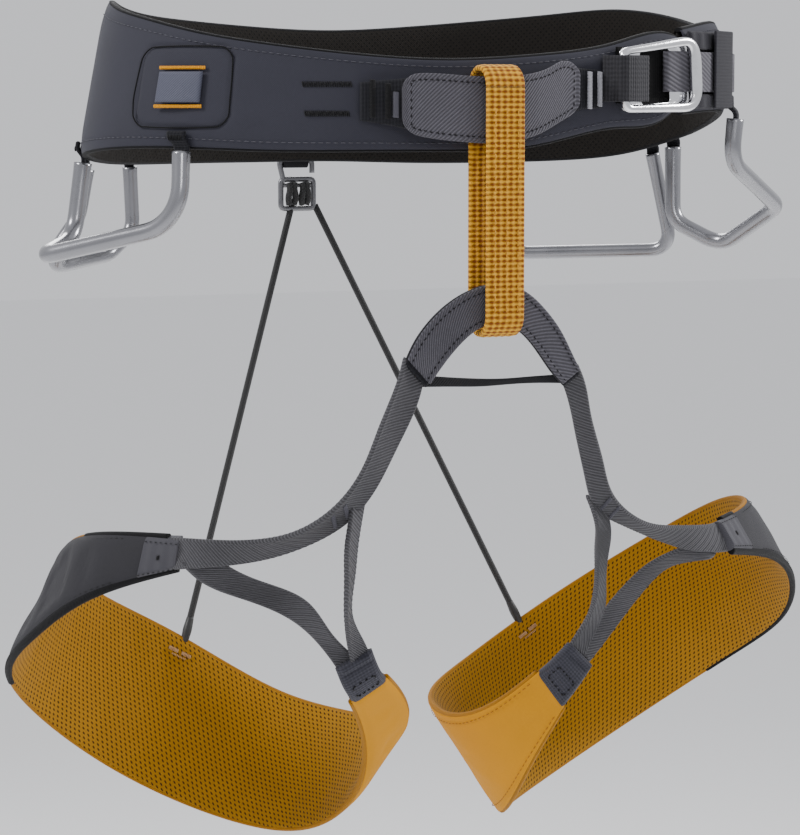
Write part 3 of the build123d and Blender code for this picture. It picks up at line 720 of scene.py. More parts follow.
# ================================================================ camera, lights and floor
def camera_and_light():
    place, facing = Vector((-0.6005, -1.2593, -0.0001)), Vector((0.42038, 0.90151, -0.10279))
    lens = bpy.data.cameras.new("camera")
    lens.sensor_fit, lens.sensor_width, lens.sensor_height = "AUTO", 36.0, 36.0
    lens.lens = 132.8
    camera = bpy.data.objects.new("camera", lens)
    camera.location = place
    camera.rotation_mode = "QUATERNION"
    camera.rotation_quaternion = facing.to_track_quat("-Z", "Y")
    bpy.context.scene.collection.objects.link(camera)
    bpy.context.scene.camera = camera

    def area(name, where, size, power):
        light = bpy.data.lights.new(name, "AREA")
        light.shape, light.size, light.energy = "DISK", size, power
        lamp = bpy.data.objects.new(name, light)
        lamp.location = where
        lamp.rotation_mode = "QUATERNION"
        lamp.rotation_quaternion = (Vector((0, 0, -0.12)) - lamp.location).to_track_quat("-Z", "Y")
        bpy.context.scene.collection.objects.link(lamp)

    area("left", (-1.9, 0.15, 1.35), 0.7, 44)
    area("right", (1.9, -0.5, 0.8), 0.7, 46)
    area("back", (0.4, 1.6, 1.0), 1.0, 20)
    area("front", (-0.4, -1.9, 0.5), 0.5, 6)

    world = bpy.data.worlds.new("studio")
    bpy.context.scene.world = world
    world.use_nodes = True
    world.node_tree.nodes["Background"].inputs[0].default_value = (0.95, 0.96, 1.0, 1.0)
    world.node_tree.nodes["Background"].inputs[1].default_value = 0.8

    material, tree, shader = new_material("floor")
    shader.inputs["Base Color"].default_value = (0.93, 0.93, 0.93, 1.0)
    shader.inputs["Roughness"].default_value = 0.9
    mesh = bpy.data.meshes.new("floor")
    reach, low = 12.0, -0.9
    corners = [(-reach, -reach), (reach, -reach), (reach, reach), (-reach, reach)]
    mesh.from_pydata([(x, y, low) for x, y in corners], [], [(0, 1, 2, 3)])
    floor = bpy.data.objects.new("floor", mesh)
    mesh.materials.append(material)
    bpy.context.scene.collection.objects.link(floor)


camera_and_light()


# ================================================================ cloth that settles by simulation
CLOTH_SWELL, CLOTH_PRESSURE, CLOTH_STEPS = 0.02, 0.6, 20


def settled(first, second, normals, across, cap):
    """How far a pinned cloth stands off its band after a short simulation, in mm, as a grid.

    The cloth is cut a little larger than its place, so it puckers between its sewn edges.
    """
    rows = len(first)
    big = 10 * MM                   # the simulation behaves better on a bigger cloth
    share = np.linspace(0, 1, across)
    points = first[:, None] + (second - first)[:, None] * share[None, :, None]
    jitter = np.random.default_rng(11).uniform(-0.2, 0.2, (rows, across))
    points = points + normals[:, None] * jitter[:, :, None]
    mesh = bpy.data.meshes.new("settling")
    faces = grid_faces(rows, across, closed_columns=False).tolist()
    mesh.from_pydata((points.reshape(-1, 3) * big).tolist(), [], faces)
    cloth = bpy.data.objects.new("settling", mesh)
    bpy.context.scene.collection.objects.link(cloth)
    pins = cloth.vertex_groups.new(name="pins")
    edge = np.zeros((rows, across), bool)
    edge[[0, -1]] = True
    edge[:, [0, -1]] = True
    pins.add(np.flatnonzero(edge.ravel()).tolist(), 1.0, "REPLACE")
    sim = cloth.modifiers.new("settle", "CLOTH")
    settings = {"quality": 6, "mass": 0.3, "tension_stiffness": 12, "compression_stiffness": 12,
                "bending_stiffness": 0.6, "vertex_group_mass": "pins", "shrink_min": -CLOTH_SWELL,
                "use_pressure": True, "uniform_pressure_force": CLOTH_PRESSURE}
    for name, value in settings.items():
        setattr(sim.settings, name, value)
    sim.settings.effector_weights.gravity = 0
    sim.collision_settings.use_collision = False
    scene = bpy.context.scene
    for step in range(1, CLOTH_STEPS + 1):
        scene.frame_set(step)
    after = np.zeros(rows * across * 3)
    cloth.evaluated_get(bpy.context.evaluated_depsgraph_get()).data.vertices.foreach_get("co", after)
    moved = after.reshape(rows, across, 3) / big - points
    bpy.data.objects.remove(cloth)
    scene.frame_set(1)
    stand = np.einsum("rck,rk->rc", moved, normals)
    stand[1:-1, 1:-1] -= np.median(stand[2:-2, 2:-2])
    for _ in range(2):
        middle = stand[1:-1, 1:-1]
        around = stand[:-2, 1:-1] + stand[2:, 1:-1] + stand[1:-1, :-2] + stand[1:-1, 2:]
        stand[1:-1, 1:-1] = middle * 0.5 + around * 0.125
    return np.tanh(stand / cap) * cap


def read_grid(grid, row_share, column_share):
    """Smooth bilinear reading of a grid at shares of its rows and columns."""
    r = np.clip(row_share, 0, 1) * (grid.shape[0] - 1)
    c = np.clip(column_share, 0, 1) * (grid.shape[1] - 1)
    r0, c0 = np.minimum(r.astype(int), grid.shape[0] - 2), np.minimum(c.astype(int), grid.shape[1] - 2)
    fr, fc = r - r0, c - c0
    return (grid[r0, c0] * (1 - fr) * (1 - fc) + grid[r0 + 1, c0] * fr * (1 - fc)
            + grid[r0, c0 + 1] * (1 - fr) * fc + grid[r0 + 1, c0 + 1] * fr * fc)


# ================================================================ waist belt
BELT_ROWS = 560
SLOT_CENTRE = {"right": -62.5, "left": -259.5}
PANEL_LONG, PANEL_TALL, PANEL_MIDDLE, PANEL_CORNER = 46.0, 34.0, 5.0, 8.0


def belt_lengths():
    upper, lower, _ = belt_rails(BELT_ROWS)
    return lengths_along((upper + lower) / 2), belt_angles(BELT_ROWS)


def panel_groove(x, z):
    """Pressed outline and slightly raised middle of a hip panel, in mm of height."""
    over_x = np.abs(x) - (PANEL_LONG / 2 - PANEL_CORNER)
    over_z = np.abs(z - PANEL_MIDDLE) - (PANEL_TALL / 2 - PANEL_CORNER)
    reach = np.hypot(np.maximum(over_x, 0), np.maximum(over_z, 0)) + np.minimum(np.maximum(over_x, over_z), 0)
    reach -= PANEL_CORNER
    return -0.8 * np.exp(-(reach / 0.8) ** 2) + 0.3 / (1 + np.exp(np.minimum(reach * 2, 60)))


def waist_belt():
    upper, lower, normals = belt_rails(BELT_ROWS)
    along, angles = belt_lengths()
    pucker = settled(upper[::3], lower[::3], normals[::3], 15, 0.55)

    def rolled(v, width):
        return rim_share(v, width) ** 7

    def shell_shift(u, v, width):
        shift = read_grid(pucker, u / along[-1], v / width) - 2.3 * rolled(v, width)
        z = upper[:, 2][:, None] - v
        for centre in SLOT_CENTRE.values():
            shift = shift + panel_groove(u - np.interp(centre, angles, along), z)
        return shift

    def lining_shift(u, v, width):
        quilt = 0.25 * np.sin(2 * np.pi * u / 9) * np.sin(2 * np.pi * v / 9)
        return 2.4 * rolled(v, width) + quilt * (1 - rolled(v, width))

    strip("waist_outer_fabric", upper, lower, normals, 0, -0.9, "belt_fabric", "waist",
          ["waist_shell"], "belt_fabric", across=46, shift=shell_shift)
    strip("waist_inner_mesh", upper, lower, normals, -7.1, -8.0, "belt_mesh", "waist",
          ["waist_lining"], "belt_mesh", across=34, shift=lining_shift)
    core_upper, core_lower = narrowed(upper, lower, 0.03)
    core = strip("waist_pad", core_upper[::3], core_lower[::3], normals[::3], -2.4, -6.9, "foam",
                 "waist", ["waist_foam"], "foam", across=16, taper=0.5)
    runs = []
    for above, below in ((0.14, 0.38), (0.62, 0.86)):
        top, bottom = upper + (lower - upper) * above, upper + (lower - upper) * below
        runs.append(strip_mesh(top[4:-4:2], bottom[4:-4:2], normals[4:-4:2], -1.5, -2.3, across=10)[:3])
    build("waist_load_runs", runs, "load_webbing", "waist", ["waist_load_webbing"])
    for name, edge in (("waist_top_binding", upper), ("waist_bottom_binding", lower)):
        centre = edge - normals * 4.0
        tube(name, centre[::2], 1.7, "binding", "waist", slot="belt_fabric", sides=10, flatten=0.55,
             hint=(0, -1, 0))
    rows = edge_rows(upper, lower, normals, 0.075, -1.05, 2.0, 1.1, 0.2)
    build("waist_edge_stitches", rows, "slate_thread", "waist")


def clip_slots():
    """Pressed panel, webbing square and two orange bars on each hip, where a tool clip slides in."""
    for side, centre in SLOT_CENTRE.items():
        long_way, tall_way = PANEL_LONG / 2 - PANEL_CORNER, PANEL_TALL / 2 - PANEL_CORNER
        turns = np.linspace(0, 2 * np.pi, 121)[:-1]
        x = long_way * np.clip(np.cos(turns) * 3, -1, 1) + PANEL_CORNER * np.cos(turns)
        z = PANEL_MIDDLE + tall_way * np.clip(np.sin(turns) * 3, -1, 1) + PANEL_CORNER * np.sin(turns)
        along, angles = belt_lengths()
        around = np.interp(np.interp(centre, angles, along) + x, along, angles)
        line = belt_surface(around, z) - belt_normals(around) * 0.5
        tube(f"{side}_clip_panel_welt", line, 0.32, "binding", "waist", slot="belt_fabric", sides=8,
             closed=True, hint=(0, 0, 1))
        first, second, normals = belt_rails(24, centre - 4.7, centre + 4.7, -1.5, 11.5)
        strip(f"{side}_clip_webbing", first, second, normals, 2.0, 0.6, "slot_webbing", "waist",
              [f"{side}_clip_slot_webbing"], "thin_webbing", across=16,
              shift=lambda u, v, width: 0.5 * np.sin(np.pi * u / u.max()) - 0.1)
        threads = []
        for height in (13.0, -3.0):
            _, _, normals = belt_rails(34, centre - 4.9, centre + 4.9, height - 1, height + 1)
            angles = belt_angles(34, centre - 4.9, centre + 4.9)
            line = belt_surface(angles, 0 * angles + height) + normals * 0.7
            up = np.array([0, 0, 0.8])
            threads.append(stitch_mesh(line - up, line + up, normals, 0.4))
        build(f"{side}_clip_bars", threads, "orange_thread", "waist", [f"{side}_clip_slot_tacks"])


# ================================================================ tie-in band at the front
COVER_FACE = 1.3


def tie_in():
    first, second, normals = rails(TIE_IN_TOP, TIE_IN_BOTTOM, 150)

    def band_relief(u, v, width):
        return ribs(0.12, 1.6)(u, v, width) - 0.25 * rim_share(v, width) ** 8

    strip("tie_in_band", first, second, normals, 1.2, -1.2, "tie_in_webbing", "waist", ["tie_in_loop"],
          "tie_in_webbing", across=26, relief=band_relief)

    first, second, normals = rails(TIE_IN_TOP, TIE_IN_BOTTOM, 190, start=0.155, end=0.89)
    along = lengths_along((first + second) / 2)
    corner = np.minimum(1, np.minimum(along, along[-1] - along) / 7.0)
    ease = 1 - np.sqrt(np.maximum(0, 1 - (1 - corner) ** 2))
    stretch = second - first
    place = along / along[-1]
    rise = 0.07 + 0.10 * hump(place, 0.88, 0.08)
    drop = 0.07 - 0.04 * np.clip((place - 0.7) / 0.3, 0, 1)
    top = first - stretch * (rise - 0.28 * ease)[:, None]
    low = second + stretch * (drop - 0.28 * ease)[:, None]

    def padded_face(u, v, width):
        rim = np.minimum(np.minimum(v, width - v), np.minimum(u, u.max() - u))
        return 0.225 * hump(rim, 0.9, 0.7) - 0.175 * hump(rim, 2.7, 0.6)

    strip("tie_in_cover", top, low, normals, COVER_FACE + 1.4, COVER_FACE, "wear_cover", "waist",
          ["tie_in_wear_cover"], "wear_cover", across=40, shift=padded_face)
    inset = 2.7
    edge_top = top + unit(low - top) * inset + normals * (COVER_FACE + 1.3)
    edge_low = low - unit(low - top) * inset + normals * (COVER_FACE + 1.3)
    inner = slice(9, -9)
    lines = [(edge_top[inner], normals[inner]), (edge_low[inner], normals[inner])]
    for k in (9, -10):
        lines.append((np.linspace(edge_top[k], edge_low[k], 20), np.repeat([normals[k]], 20, 0)))
    rows = [stitch_row(line, facing, 1.5, 0.9, 0.3) for line, facing in lines]
    build("tie_in_cover_stitches", rows, "cover_thread", "waist")


def on_belt(angle, height, stand):
    """A point standing off the belt's outer surface, and the normal there."""
    angles = np.array([float(angle)])
    normal = belt_normals(angles)[0]
    return belt_surface(angles, angles * 0 + height)[0] + normal * stand, normal


def front_tacks():
    """Silver and black bars that sew the tie-in band to the belt."""
    up = np.array([0, 0, 1.0])
    silver, black, slate = [], [], []
    for x, y, z, tall, shade in [(21.5, -112.3, 3.5, 15, silver), (26.4, -112.0, 4.0, 14, silver),
                                 (-64.5, -105.4, -2.5, 10, slate), (-67.5, -104.4, -1, 14, black),
                                 (-73.5, -102.2, 0, 15, black)]:
        turn = math.atan2(x / BELT_X ** 2, -y / BELT_Y ** 2)
        normal = np.array([math.sin(turn), -math.cos(turn), 0.0])
        side = np.cross(normal, up)
        shade.append(bar_tack(np.array([x, y, z]) + normal * 1.6, up, side, normal, tall, 2.6, 26, 0.34))
    for height, start, end in ((6.0, -39.5, -31.5), (-6.0, -39, -31.8)):
        angles = np.linspace(start, end, 22)
        normals = belt_normals(angles)
        line = belt_surface(angles, 0 * angles + height) + normals * 0.2
        slant = np.cross(normals, up) * 0.35
        black.append(stitch_mesh(line - up * 1.3 - slant, line + up * 1.3 + slant, normals, 0.38))
    build("front_slate_tack", slate, "slate_thread", "waist")
    build("front_silver_tacks", silver, "grey_thread", "waist", ["tie_in_bar_tacks"])
    build("front_black_tacks", black, "black_thread", "waist")


# ================================================================ belay loop
def belay():
    """Two plies of one stitched webbing loop."""
    radius = BELAY_DEPTH / 2 - BELAY_PLY / 2
    straight = BELAY_LENGTH - BELAY_DEPTH
    centre_y, centre_z = BRIDGE_Y - 0.3, BELAY_TOP - BELAY_LENGTH / 2
    total = 2 * straight + 2 * np.pi * radius
    count, arc = 420, np.pi * radius
    places = np.arange(count) * total / count
    stops = np.cumsum([0, straight, arc, straight, arc])
    turn = np.interp(places, stops, [0, 0, np.pi, np.pi, 2 * np.pi])
    height = np.interp(places, stops, np.array([1, -1, -1, 1, 1]) * straight / 2)
    normals = np.stack([0 * turn, -np.cos(turn), -np.sin(turn)], axis=1)
    points = normals * radius + [CENTRE_X, centre_y, centre_z]
    points[:, 2] += height
    half = np.array([BELAY_WIDTH / 2, 0, 0])

    def woven(u, v, width):
        rib = 0.16 * np.sin(2 * np.pi * u / 2.1)
        column = 0.14 * np.cos(2 * np.pi * v / (width / 6))
        return rib + column * 0.6 - 0.5 * rim_share(v, width) ** 10

    strip("belay_webbing", points - half, points + half, normals, BELAY_PLY / 2, -BELAY_PLY / 2,
          "belay_webbing", "belay_loop", ["belay_loop"], "belay_webbing", across=40, relief=woven,
          closed=True)
    rows = []
    for share in (0.2, 0.5, 0.8):
        for part in (slice(14, 165), slice(224, 375)):
            line = points[part] + half * (2 * share - 1) + normals[part] * (BELAY_PLY / 2 - 0.02)
            rows.append(stitch_row(line, normals[part], 2.3, 1.9, 0.34))
    build("belay_stitches", rows, "gold_thread", "belay_loop")


# ================================================================ leg bridge and arms
def in_bridge_plane(points):
    return [(x, BRIDGE_Y, z) for x, z in points]


def leg_bridge():
    first, second, normals = rails(in_bridge_plane(BRIDGE_OUTER), in_bridge_plane(BRIDGE_INNER), 150)
    strip("bridge_band", first, second, normals, 1.2, -1.2, "tie_in_webbing", "waist", ["leg_bridge"],
          "tie_in_webbing", across=22, relief=ribs(0.1, 1.6))
    first, second, normals = rails(in_bridge_plane(BRIDGE_OUTER), in_bridge_plane(BRIDGE_INNER), 170,
                                   start=0.02, end=0.98)

    def rolled_edge(u, v, width):
        rim = np.minimum(v, width - v)
        return 0.2 * hump(rim, 1.0, 0.8) - 0.12 * hump(rim, 2.8, 0.6)

    strip("bridge_cover", first, second, normals, 2.6, 1.3, "wear_cover", "waist", ["leg_bridge_cover"],
          "wear_cover", across=34, shift=rolled_edge)
    rows = edge_rows(first, second, normals, 0.16, 2.55, 1.5, 1.0, 0.26)
    build("bridge_stitches", rows, "cover_thread", "waist")
    first, second, normals = rails(CROSS_TOP, CROSS_BOTTOM, 90)
    strip("cross_strap_webbing", first, second, normals, 0.8, -0.8, "thin_webbing", "waist",
          ["cross_strap"], "thin_webbing", across=12,
          shift=lambda u, v, width: 0.5 * np.sin(u / 11) * (2 * v / width - 1))


# where the inner and cross arms start, behind the outer arm, and where they end, inside the folded tab
ARM_SEWN_IN = {
    ("inner_arm", "right"): ([(-77, -104, -161), (-86, -107, -166)], [(-68.5, -90, -236), (-78, -90, -237)]),
    ("cross_arm", "right"): ([(-138, -75, -186), (-147, -69.5, -192)],
                             [(-73, -87.5, -236), (-80, -85, -243)]),
    ("inner_arm", "left"): ([(33, -104, -171), (24, -107, -169)], [(47, -65, -248), (38, -67, -241)]),
    ("cross_arm", "left"): ([(96, -82, -191), (106, -80, -202)], [(46, -62.5, -245), (51, -60.5, -252)]),
}


def rim_place(side, at):
    """The leg loop's two edge points at a share of its length."""
    first, second, _ = leg_rails(side, 3, at, at + 0.002)
    return first[0], second[0]


def led_rails(edges, count, lead):
    """An arm's rails; lead carries its start on, behind the leg bridge."""
    first, second = (np.array(edge, float) for edge in edges)
    back = unit(first[0] - first[1]) + unit(second[0] - second[1])
    step = unit(back) * lead + np.array([0, 2.6, 0])
    return rails(np.vstack([first[0] + step, first]), np.vstack([second[0] + step, second]), count)


def leg_arms(side):
    body = f"{side}_leg"

    def ribbed(u, v, width):
        edge = rim_share(v, width)
        return 0.16 * np.sin(2 * np.pi * (u + v) / 2.4) * (1 - edge ** 6) + 0.25 * hump(edge, 0.86, 0.08)

    def curl(amount, wave_long):
        return lambda u, v, width: amount * rim_share(v, width) ** 2 + 0.35 * np.sin(u / wave_long + v / 5)

    sewn = rim_place(side, 0.012)
    edges = [list(edge) + [end] for edge, end in zip(OUTER_ARM[side], sewn)]
    first, second, normals = led_rails(edges, 200, 7.0)
    outer = strip(f"{side}_outer_arm_webbing", first, second, normals, 1.0, -1.0, "arm_webbing", None,
                  [f"{side}_outer_arm"], "arm_webbing", across=24, relief=ribbed, shift=curl(-0.5, 13))
    middle = (first + second) / 2
    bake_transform(outer)
    for arm, edges in (("inner_arm", INNER_ARM), ("cross_arm", CROSS_ARM)):
        starts, ends = ARM_SEWN_IN[arm, side]
        a, b = [[start] + list(edge) + [end] for start, edge, end in zip(starts, edges[side], ends)]
        a, b, facing = rails(a, b, 110)
        strip(f"{side}_{arm}_webbing", a, b, facing, 1.0, -1.0, "arm_webbing", body, [f"{side}_{arm}"],
              "arm_webbing", across=20, relief=ribbed, shift=curl(0.5, 9))

    split = {"right": 0.47, "left": 0.44}[side]
    k = int(split * 199)
    up, wide, face = unit(second[k] - first[k]), unit(middle[k + 4] - middle[k - 4]), normals[k]
    if face[1] > 0:
        face = -face
    tacks = [bar_tack(middle[k + shift] + face * 1.1, up, wide, face, 8.5, 2.2, 15, 0.3) for shift in (-4, 5)]
    build(f"{side}_arm_tacks", tacks, "slate_thread", body)
    arm_tab(side, body)


def arm_tab(side, body):
    """The folded webbing tab that joins the inner and cross arms to the thigh fabric."""
    edges = [list(edge) + [end] for edge, end in zip(TAB[side], rim_place(side, 0.983))]
    first, second, normals = rails(*edges, 40)
    if normals[0][1] > 0:
        normals = -normals

    def folds(u, v, width):
        lip = 1.1 * np.exp(-((u - 1.9) / 1.3) ** 4)
        return lip - 0.5 * hump(u, 4.2, 0.5) + 0.06 * np.sin(2 * np.pi * v / 1.3)

    strip(f"{side}_arm_tab_webbing", first, second, normals, 2.8, -2.8, "tab_webbing", body,
          [f"{side}_arm_tab"], "arm_webbing", across=26, relief=folds)
    steps = np.linspace(0, 1, 40)

    def on_tab(along, across):
        at, facing, other = (read_along(steps, part, along) for part in (first, normals, second))
        return at + (other - at) * across[:, None] + facing * 2.95, facing

    corners = [(0.5, 0.2), (0.5, 0.8), (0.8, 0.8), (0.8, 0.2), (0.5, 0.2)]
    rows = []
    for (along_a, across_a), (along_b, across_b) in zip(corners, corners[1:]):
        line, facing = on_tab(np.linspace(along_a, along_b, 16), np.linspace(across_a, across_b, 16))
        rows.append(stitch_row(line, facing, 1.3, 0.6, 0.34))
    build(f"{side}_tab_stitches", rows, "black_thread", body)


# ================================================================ leg loops
def leg_rails(side, count, start=0.015, end=0.985):
    return rails(*RIM[side], count, FACING[side], start, end)


def leg_loop(side):
    body, half, skin = f"{side}_leg", LEG_THICK / 2, 0.8
    seam = DARK_END[side]
    first, second, normals = leg_rails(side, 260)
    pucker = settled(first[::2], second[::2], normals[::2], 17, 0.7)

    def share_of(u, start, end):
        return start + (end - start) * u / np.maximum(u.max(), 1e-6)

    def outer_shift(start, end):
        def shift(u, v, width):
            edge = rim_share(v, width) ** 7
            place = share_of(u, start, end)
            calm = np.clip((place - 0.05) / 0.08, 0, 1)
            return -1.0 * edge + read_grid(pucker, place, v / width) * (1 - edge) * calm
        return shift

    def lining_shift(u, v, width):
        edge = rim_share(v, width) ** 7
        return 1.1 * edge + 0.6 * read_grid(pucker, share_of(u, 0, 1), v / width) * (1 - edge)

    for name, count, start, end, kept, cloth, node in (
            ("dark_fabric", 170, 0.015, seam, (0, seam), "leg_fabric", "leg_shell"),
            ("thigh_fabric_skin", 240, seam + 0.002, 0.985, (seam, 1), "thigh_fabric", "leg_thigh_fabric")):
        a, b, facing = leg_rails(side, count, start, end)
        strip(f"{side}_{name}", a, b, facing, half, half - skin, cloth, body, [f"{side}_{node}"], cloth,
              across=34, shift=outer_shift(*kept))
    strip(f"{side}_slit_lining", first, second, normals, skin - half, -half, "leg_lining", body,
          [f"{side}_leg_lining"], "leg_lining", across=34, shift=lining_shift)
    a, b = narrowed(first, second, 0.03)
    core = strip(f"{side}_leg_pad", a[::2], b[::2], normals[::2], half - 0.9, 0.9 - half, "foam", body,
                 [f"{side}_leg_foam"], "foam", across=14, taper=0.5)

    gold_from = {"right": 34, "left": 8}[side]
    for name, edge in (("top", first[gold_from:]), ("bottom", second)):
        tube(f"{side}_{name}_rim", edge[::2], 1.25, "gold_binding", body, slot="thigh_fabric", sides=10,
             hint=(1, 0, 0))
    dark_a, dark_b, facing = leg_rails(side, 120, 0.0, seam + 0.01)
    tube(f"{side}_dark_binding", dark_b + facing * 0.5, 1.95, "binding", body, slot="leg_fabric", sides=12,
         flatten=0.8)
    tube(f"{side}_dark_top_binding", first[:gold_from + 2] + normals[:gold_from + 2] * 0.3, 1.4, "binding",
         body, slot="leg_fabric", sides=12)
    front_end(side, body)
    seam_stitches(side, body)


def front_end(side, body):
    """The grey patch that sews the outer arm into the loop's front end, with its stitched dot."""
    half = LEG_THICK / 2
    a, b, facing = leg_rails(side, 60, 0.0, 0.042)
    middle = (a + b) / 2
    patch_a, patch_b = middle + (a - middle) * 1.03, middle + (b - middle) * 1.03
    strip(f"{side}_front_patch", patch_a, patch_b, facing, half + 0.7, -half - 0.3, "patch_fabric", body,
          slot="leg_fabric", across=20, relief=ribs(0.12, 6))
    rows = [stitch_row(middle + (edge - middle) * 0.82 + facing * (half + 0.85), facing, 1.3, 0.9, 0.22)
            for edge in (a, b)]
    k = 30
    rows.append(bar_tack(middle[k] + facing[k] * (half + 0.85), b[k] - a[k], middle[k + 3] - middle[k],
                         facing[k], 1.6, 1.6, 4, 0.26))
    build(f"{side}_patch_stitches", rows, "black_thread", body)


def seam_stitches(side, body):
    """Running stitches beside the seam between the dark and the yellow fabric, and along the edges."""
    half = LEG_THICK / 2
    seam = DARK_END[side]
    a, b, facing = leg_rails(side, 3, seam - 0.006, seam + 0.01)
    rows = []
    for k in (0, 2):
        line = np.linspace(a[k], b[k], 40)[3:-3] + facing[k] * (half + 0.15)
        rows.append(stitch_row(line, np.repeat(facing[k:k + 1], 34, axis=0), 1.8, 1.0, 0.2))
    dark_rows = edge_rows(*leg_rails(side, 140, 0.07, seam), 0.07, half - 0.3, 2.0, 1.2, 0.2)
    rows += edge_rows(*leg_rails(side, 140, seam + 0.01, 0.97), 0.07, half - 0.3, 2.0, 1.2, 0.2)
    build(f"{side}_dark_stitches", dark_rows, "black_thread", body)
    build(f"{side}_leg_stitches", rows, "seam_thread", body)


# ================================================================ risers at the back
def riser(side):
    body = f"{side}_leg"
    first, second, normals = leg_rails(side, 401, 0.0, 1.0)
    k = int(RISER_AT[side] * 400)
    rim_point, down, outward = first[k], unit(second[k] - first[k]), normals[k]
    head = np.array(RISER_HEAD[side], float)
    way = unit(rim_point - head)
    head = head - way * 4.0
    sleeve_end = rim_point - way * SLEEVE_CLEAR
    sleeve_start = sleeve_end - way * SLEEVE_LONG
    end = sleeve_start + way * 3.0
    line = np.linspace(head, end, 60)
    cord = tube(f"{side}_riser_elastic", line, RISER_CORD / 2, "elastic_cord", None,
                [f"{side}_riser_cord"], "elastic_cord", sides=14)
    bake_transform(cord)
    bands = np.linspace(sleeve_start, sleeve_end + way * 2.4, 22)
    swell = 1.95 + 0.2 * np.cos(np.linspace(0, 2 * np.pi, 22)) * -1
    swell[[0, -1]] *= 0.75
    tube(f"{side}_riser_boot", bands, swell, "sleeve_rubber", body, [f"{side}_riser_sleeve"],
         "sleeve_rubber", sides=16)
    centre = rim_point + down * 6.0 - outward * (LEG_THICK / 2 + 0.3)
    wide = unit(np.cross(down, outward))
    tacks = [bar_tack(centre + wide * at, wide, down, -outward, 4.2, 1.8, 7, 0.3) for at in (-3.6, 3.0)]
    tacks.append(bar_tack(centre + down * 2.0, wide, down, -outward, 6.5, 0.9, 9, 0.25))
    build(f"{side}_riser_thread", tacks, "rust_thread", body, [f"{side}_riser_stitches"])


def riser_hook():
    """Webbing tab, moulded hook with its ladder window, and elastic wraps."""
    y = HOOK_Y
    turn = np.linspace(0, 2 * np.pi, 60, endpoint=False)
    spokes = np.stack([0 * turn, 2.5 * np.sin(turn), 12.4 * np.cos(turn)], axis=1)
    loop = spokes + [BACK_X + 0.5, y, -20]
    away = unit(unit(spokes) * [1, 1, 0.4])
    half = np.array([6.5, 0, 0])
    strip("riser_tab_webbing", loop - half, loop + half, away, 0.6, -0.6, "thin_webbing", "waist",
          ["riser_tab"], "thin_webbing", across=16, closed=True)

    parts = []
    window = [(-24.1, -38.5), (-7.1, -38.5), (-7.1, -52.6), (-24.1, -52.6)]
    ring = []
    for (x0, z0), (x1, z1) in zip(window, window[1:] + window[:1]):
        for share in np.linspace(0, 1, 12, endpoint=False):
            ring.append((x0 + (x1 - x0) * share, y, z0 + (z1 - z0) * share))
    ring = np.array(ring)
    for _ in range(2):
        ring = (np.roll(ring, 1, axis=0) + ring * 2 + np.roll(ring, -1, axis=0)) / 4
    parts.append(tube_mesh(ring, 1.35, 10, closed=True, hint=(0, 1, 0)))
    hook = [(-22.5, y, -40), (-25.4, y, -28.6), (-7.8, y, -28.6), (-7.8, y, -35.5)]
    parts.append(tube_mesh(rounded_route(hook, [2.5, 3.0], 0.8), 1.3, 10, hint=(0, 1, 0)))
    parts.append(tube_mesh(np.linspace((-23.6, y, -41.4), (-7.6, y, -41.4), 6), 1.1, 8, hint=(0, 1, 0)))
    build("riser_hook_body", parts, "hook_plastic", "waist", ["riser_hook"])

    wraps = []
    for k, x in enumerate((-20.6, -17.4, -13.8, -10.8)):
        lean = 0.5 * (-1) ** k
        line = [(x, y - 1.4, -40.2), (x + lean, y - 2.0, -43), (x - lean * 0.4, y - 1.9, -47),
                (x + lean, y - 0.9, -50.6)]
        wraps.append(tube_mesh(smooth_line(line, 18), 1.6, 12))
    build("riser_elastic_wraps", wraps, "elastic_cord", "waist", ["riser_wraps"])


def haul_loop():
    turn = np.linspace(0, 2 * np.pi, 90, endpoint=False)
    along = 5.0 * np.clip(np.cos(turn) * 4, -1, 1) + 9.15 * np.cos(turn)
    ring = np.stack([BACK_X + along, 115.0 + 0 * turn, 5 + 9.15 * np.sin(turn)], axis=1)
    tangents = unit(np.roll(ring, -1, axis=0) - np.roll(ring, 1, axis=0))
    away = unit(np.cross(tangents, (0, -1, 0)))
    if np.dot(away[0], (1, 0, 0)) < 0:
        away = -away
    half = np.array([0, 4.0, 0])
    strip("haul_loop_webbing", ring - half, ring + half, away, 0.85, -0.85, "thin_webbing", "haul_loop",
          ["haul_loop"], "thin_webbing", across=16, closed=True)


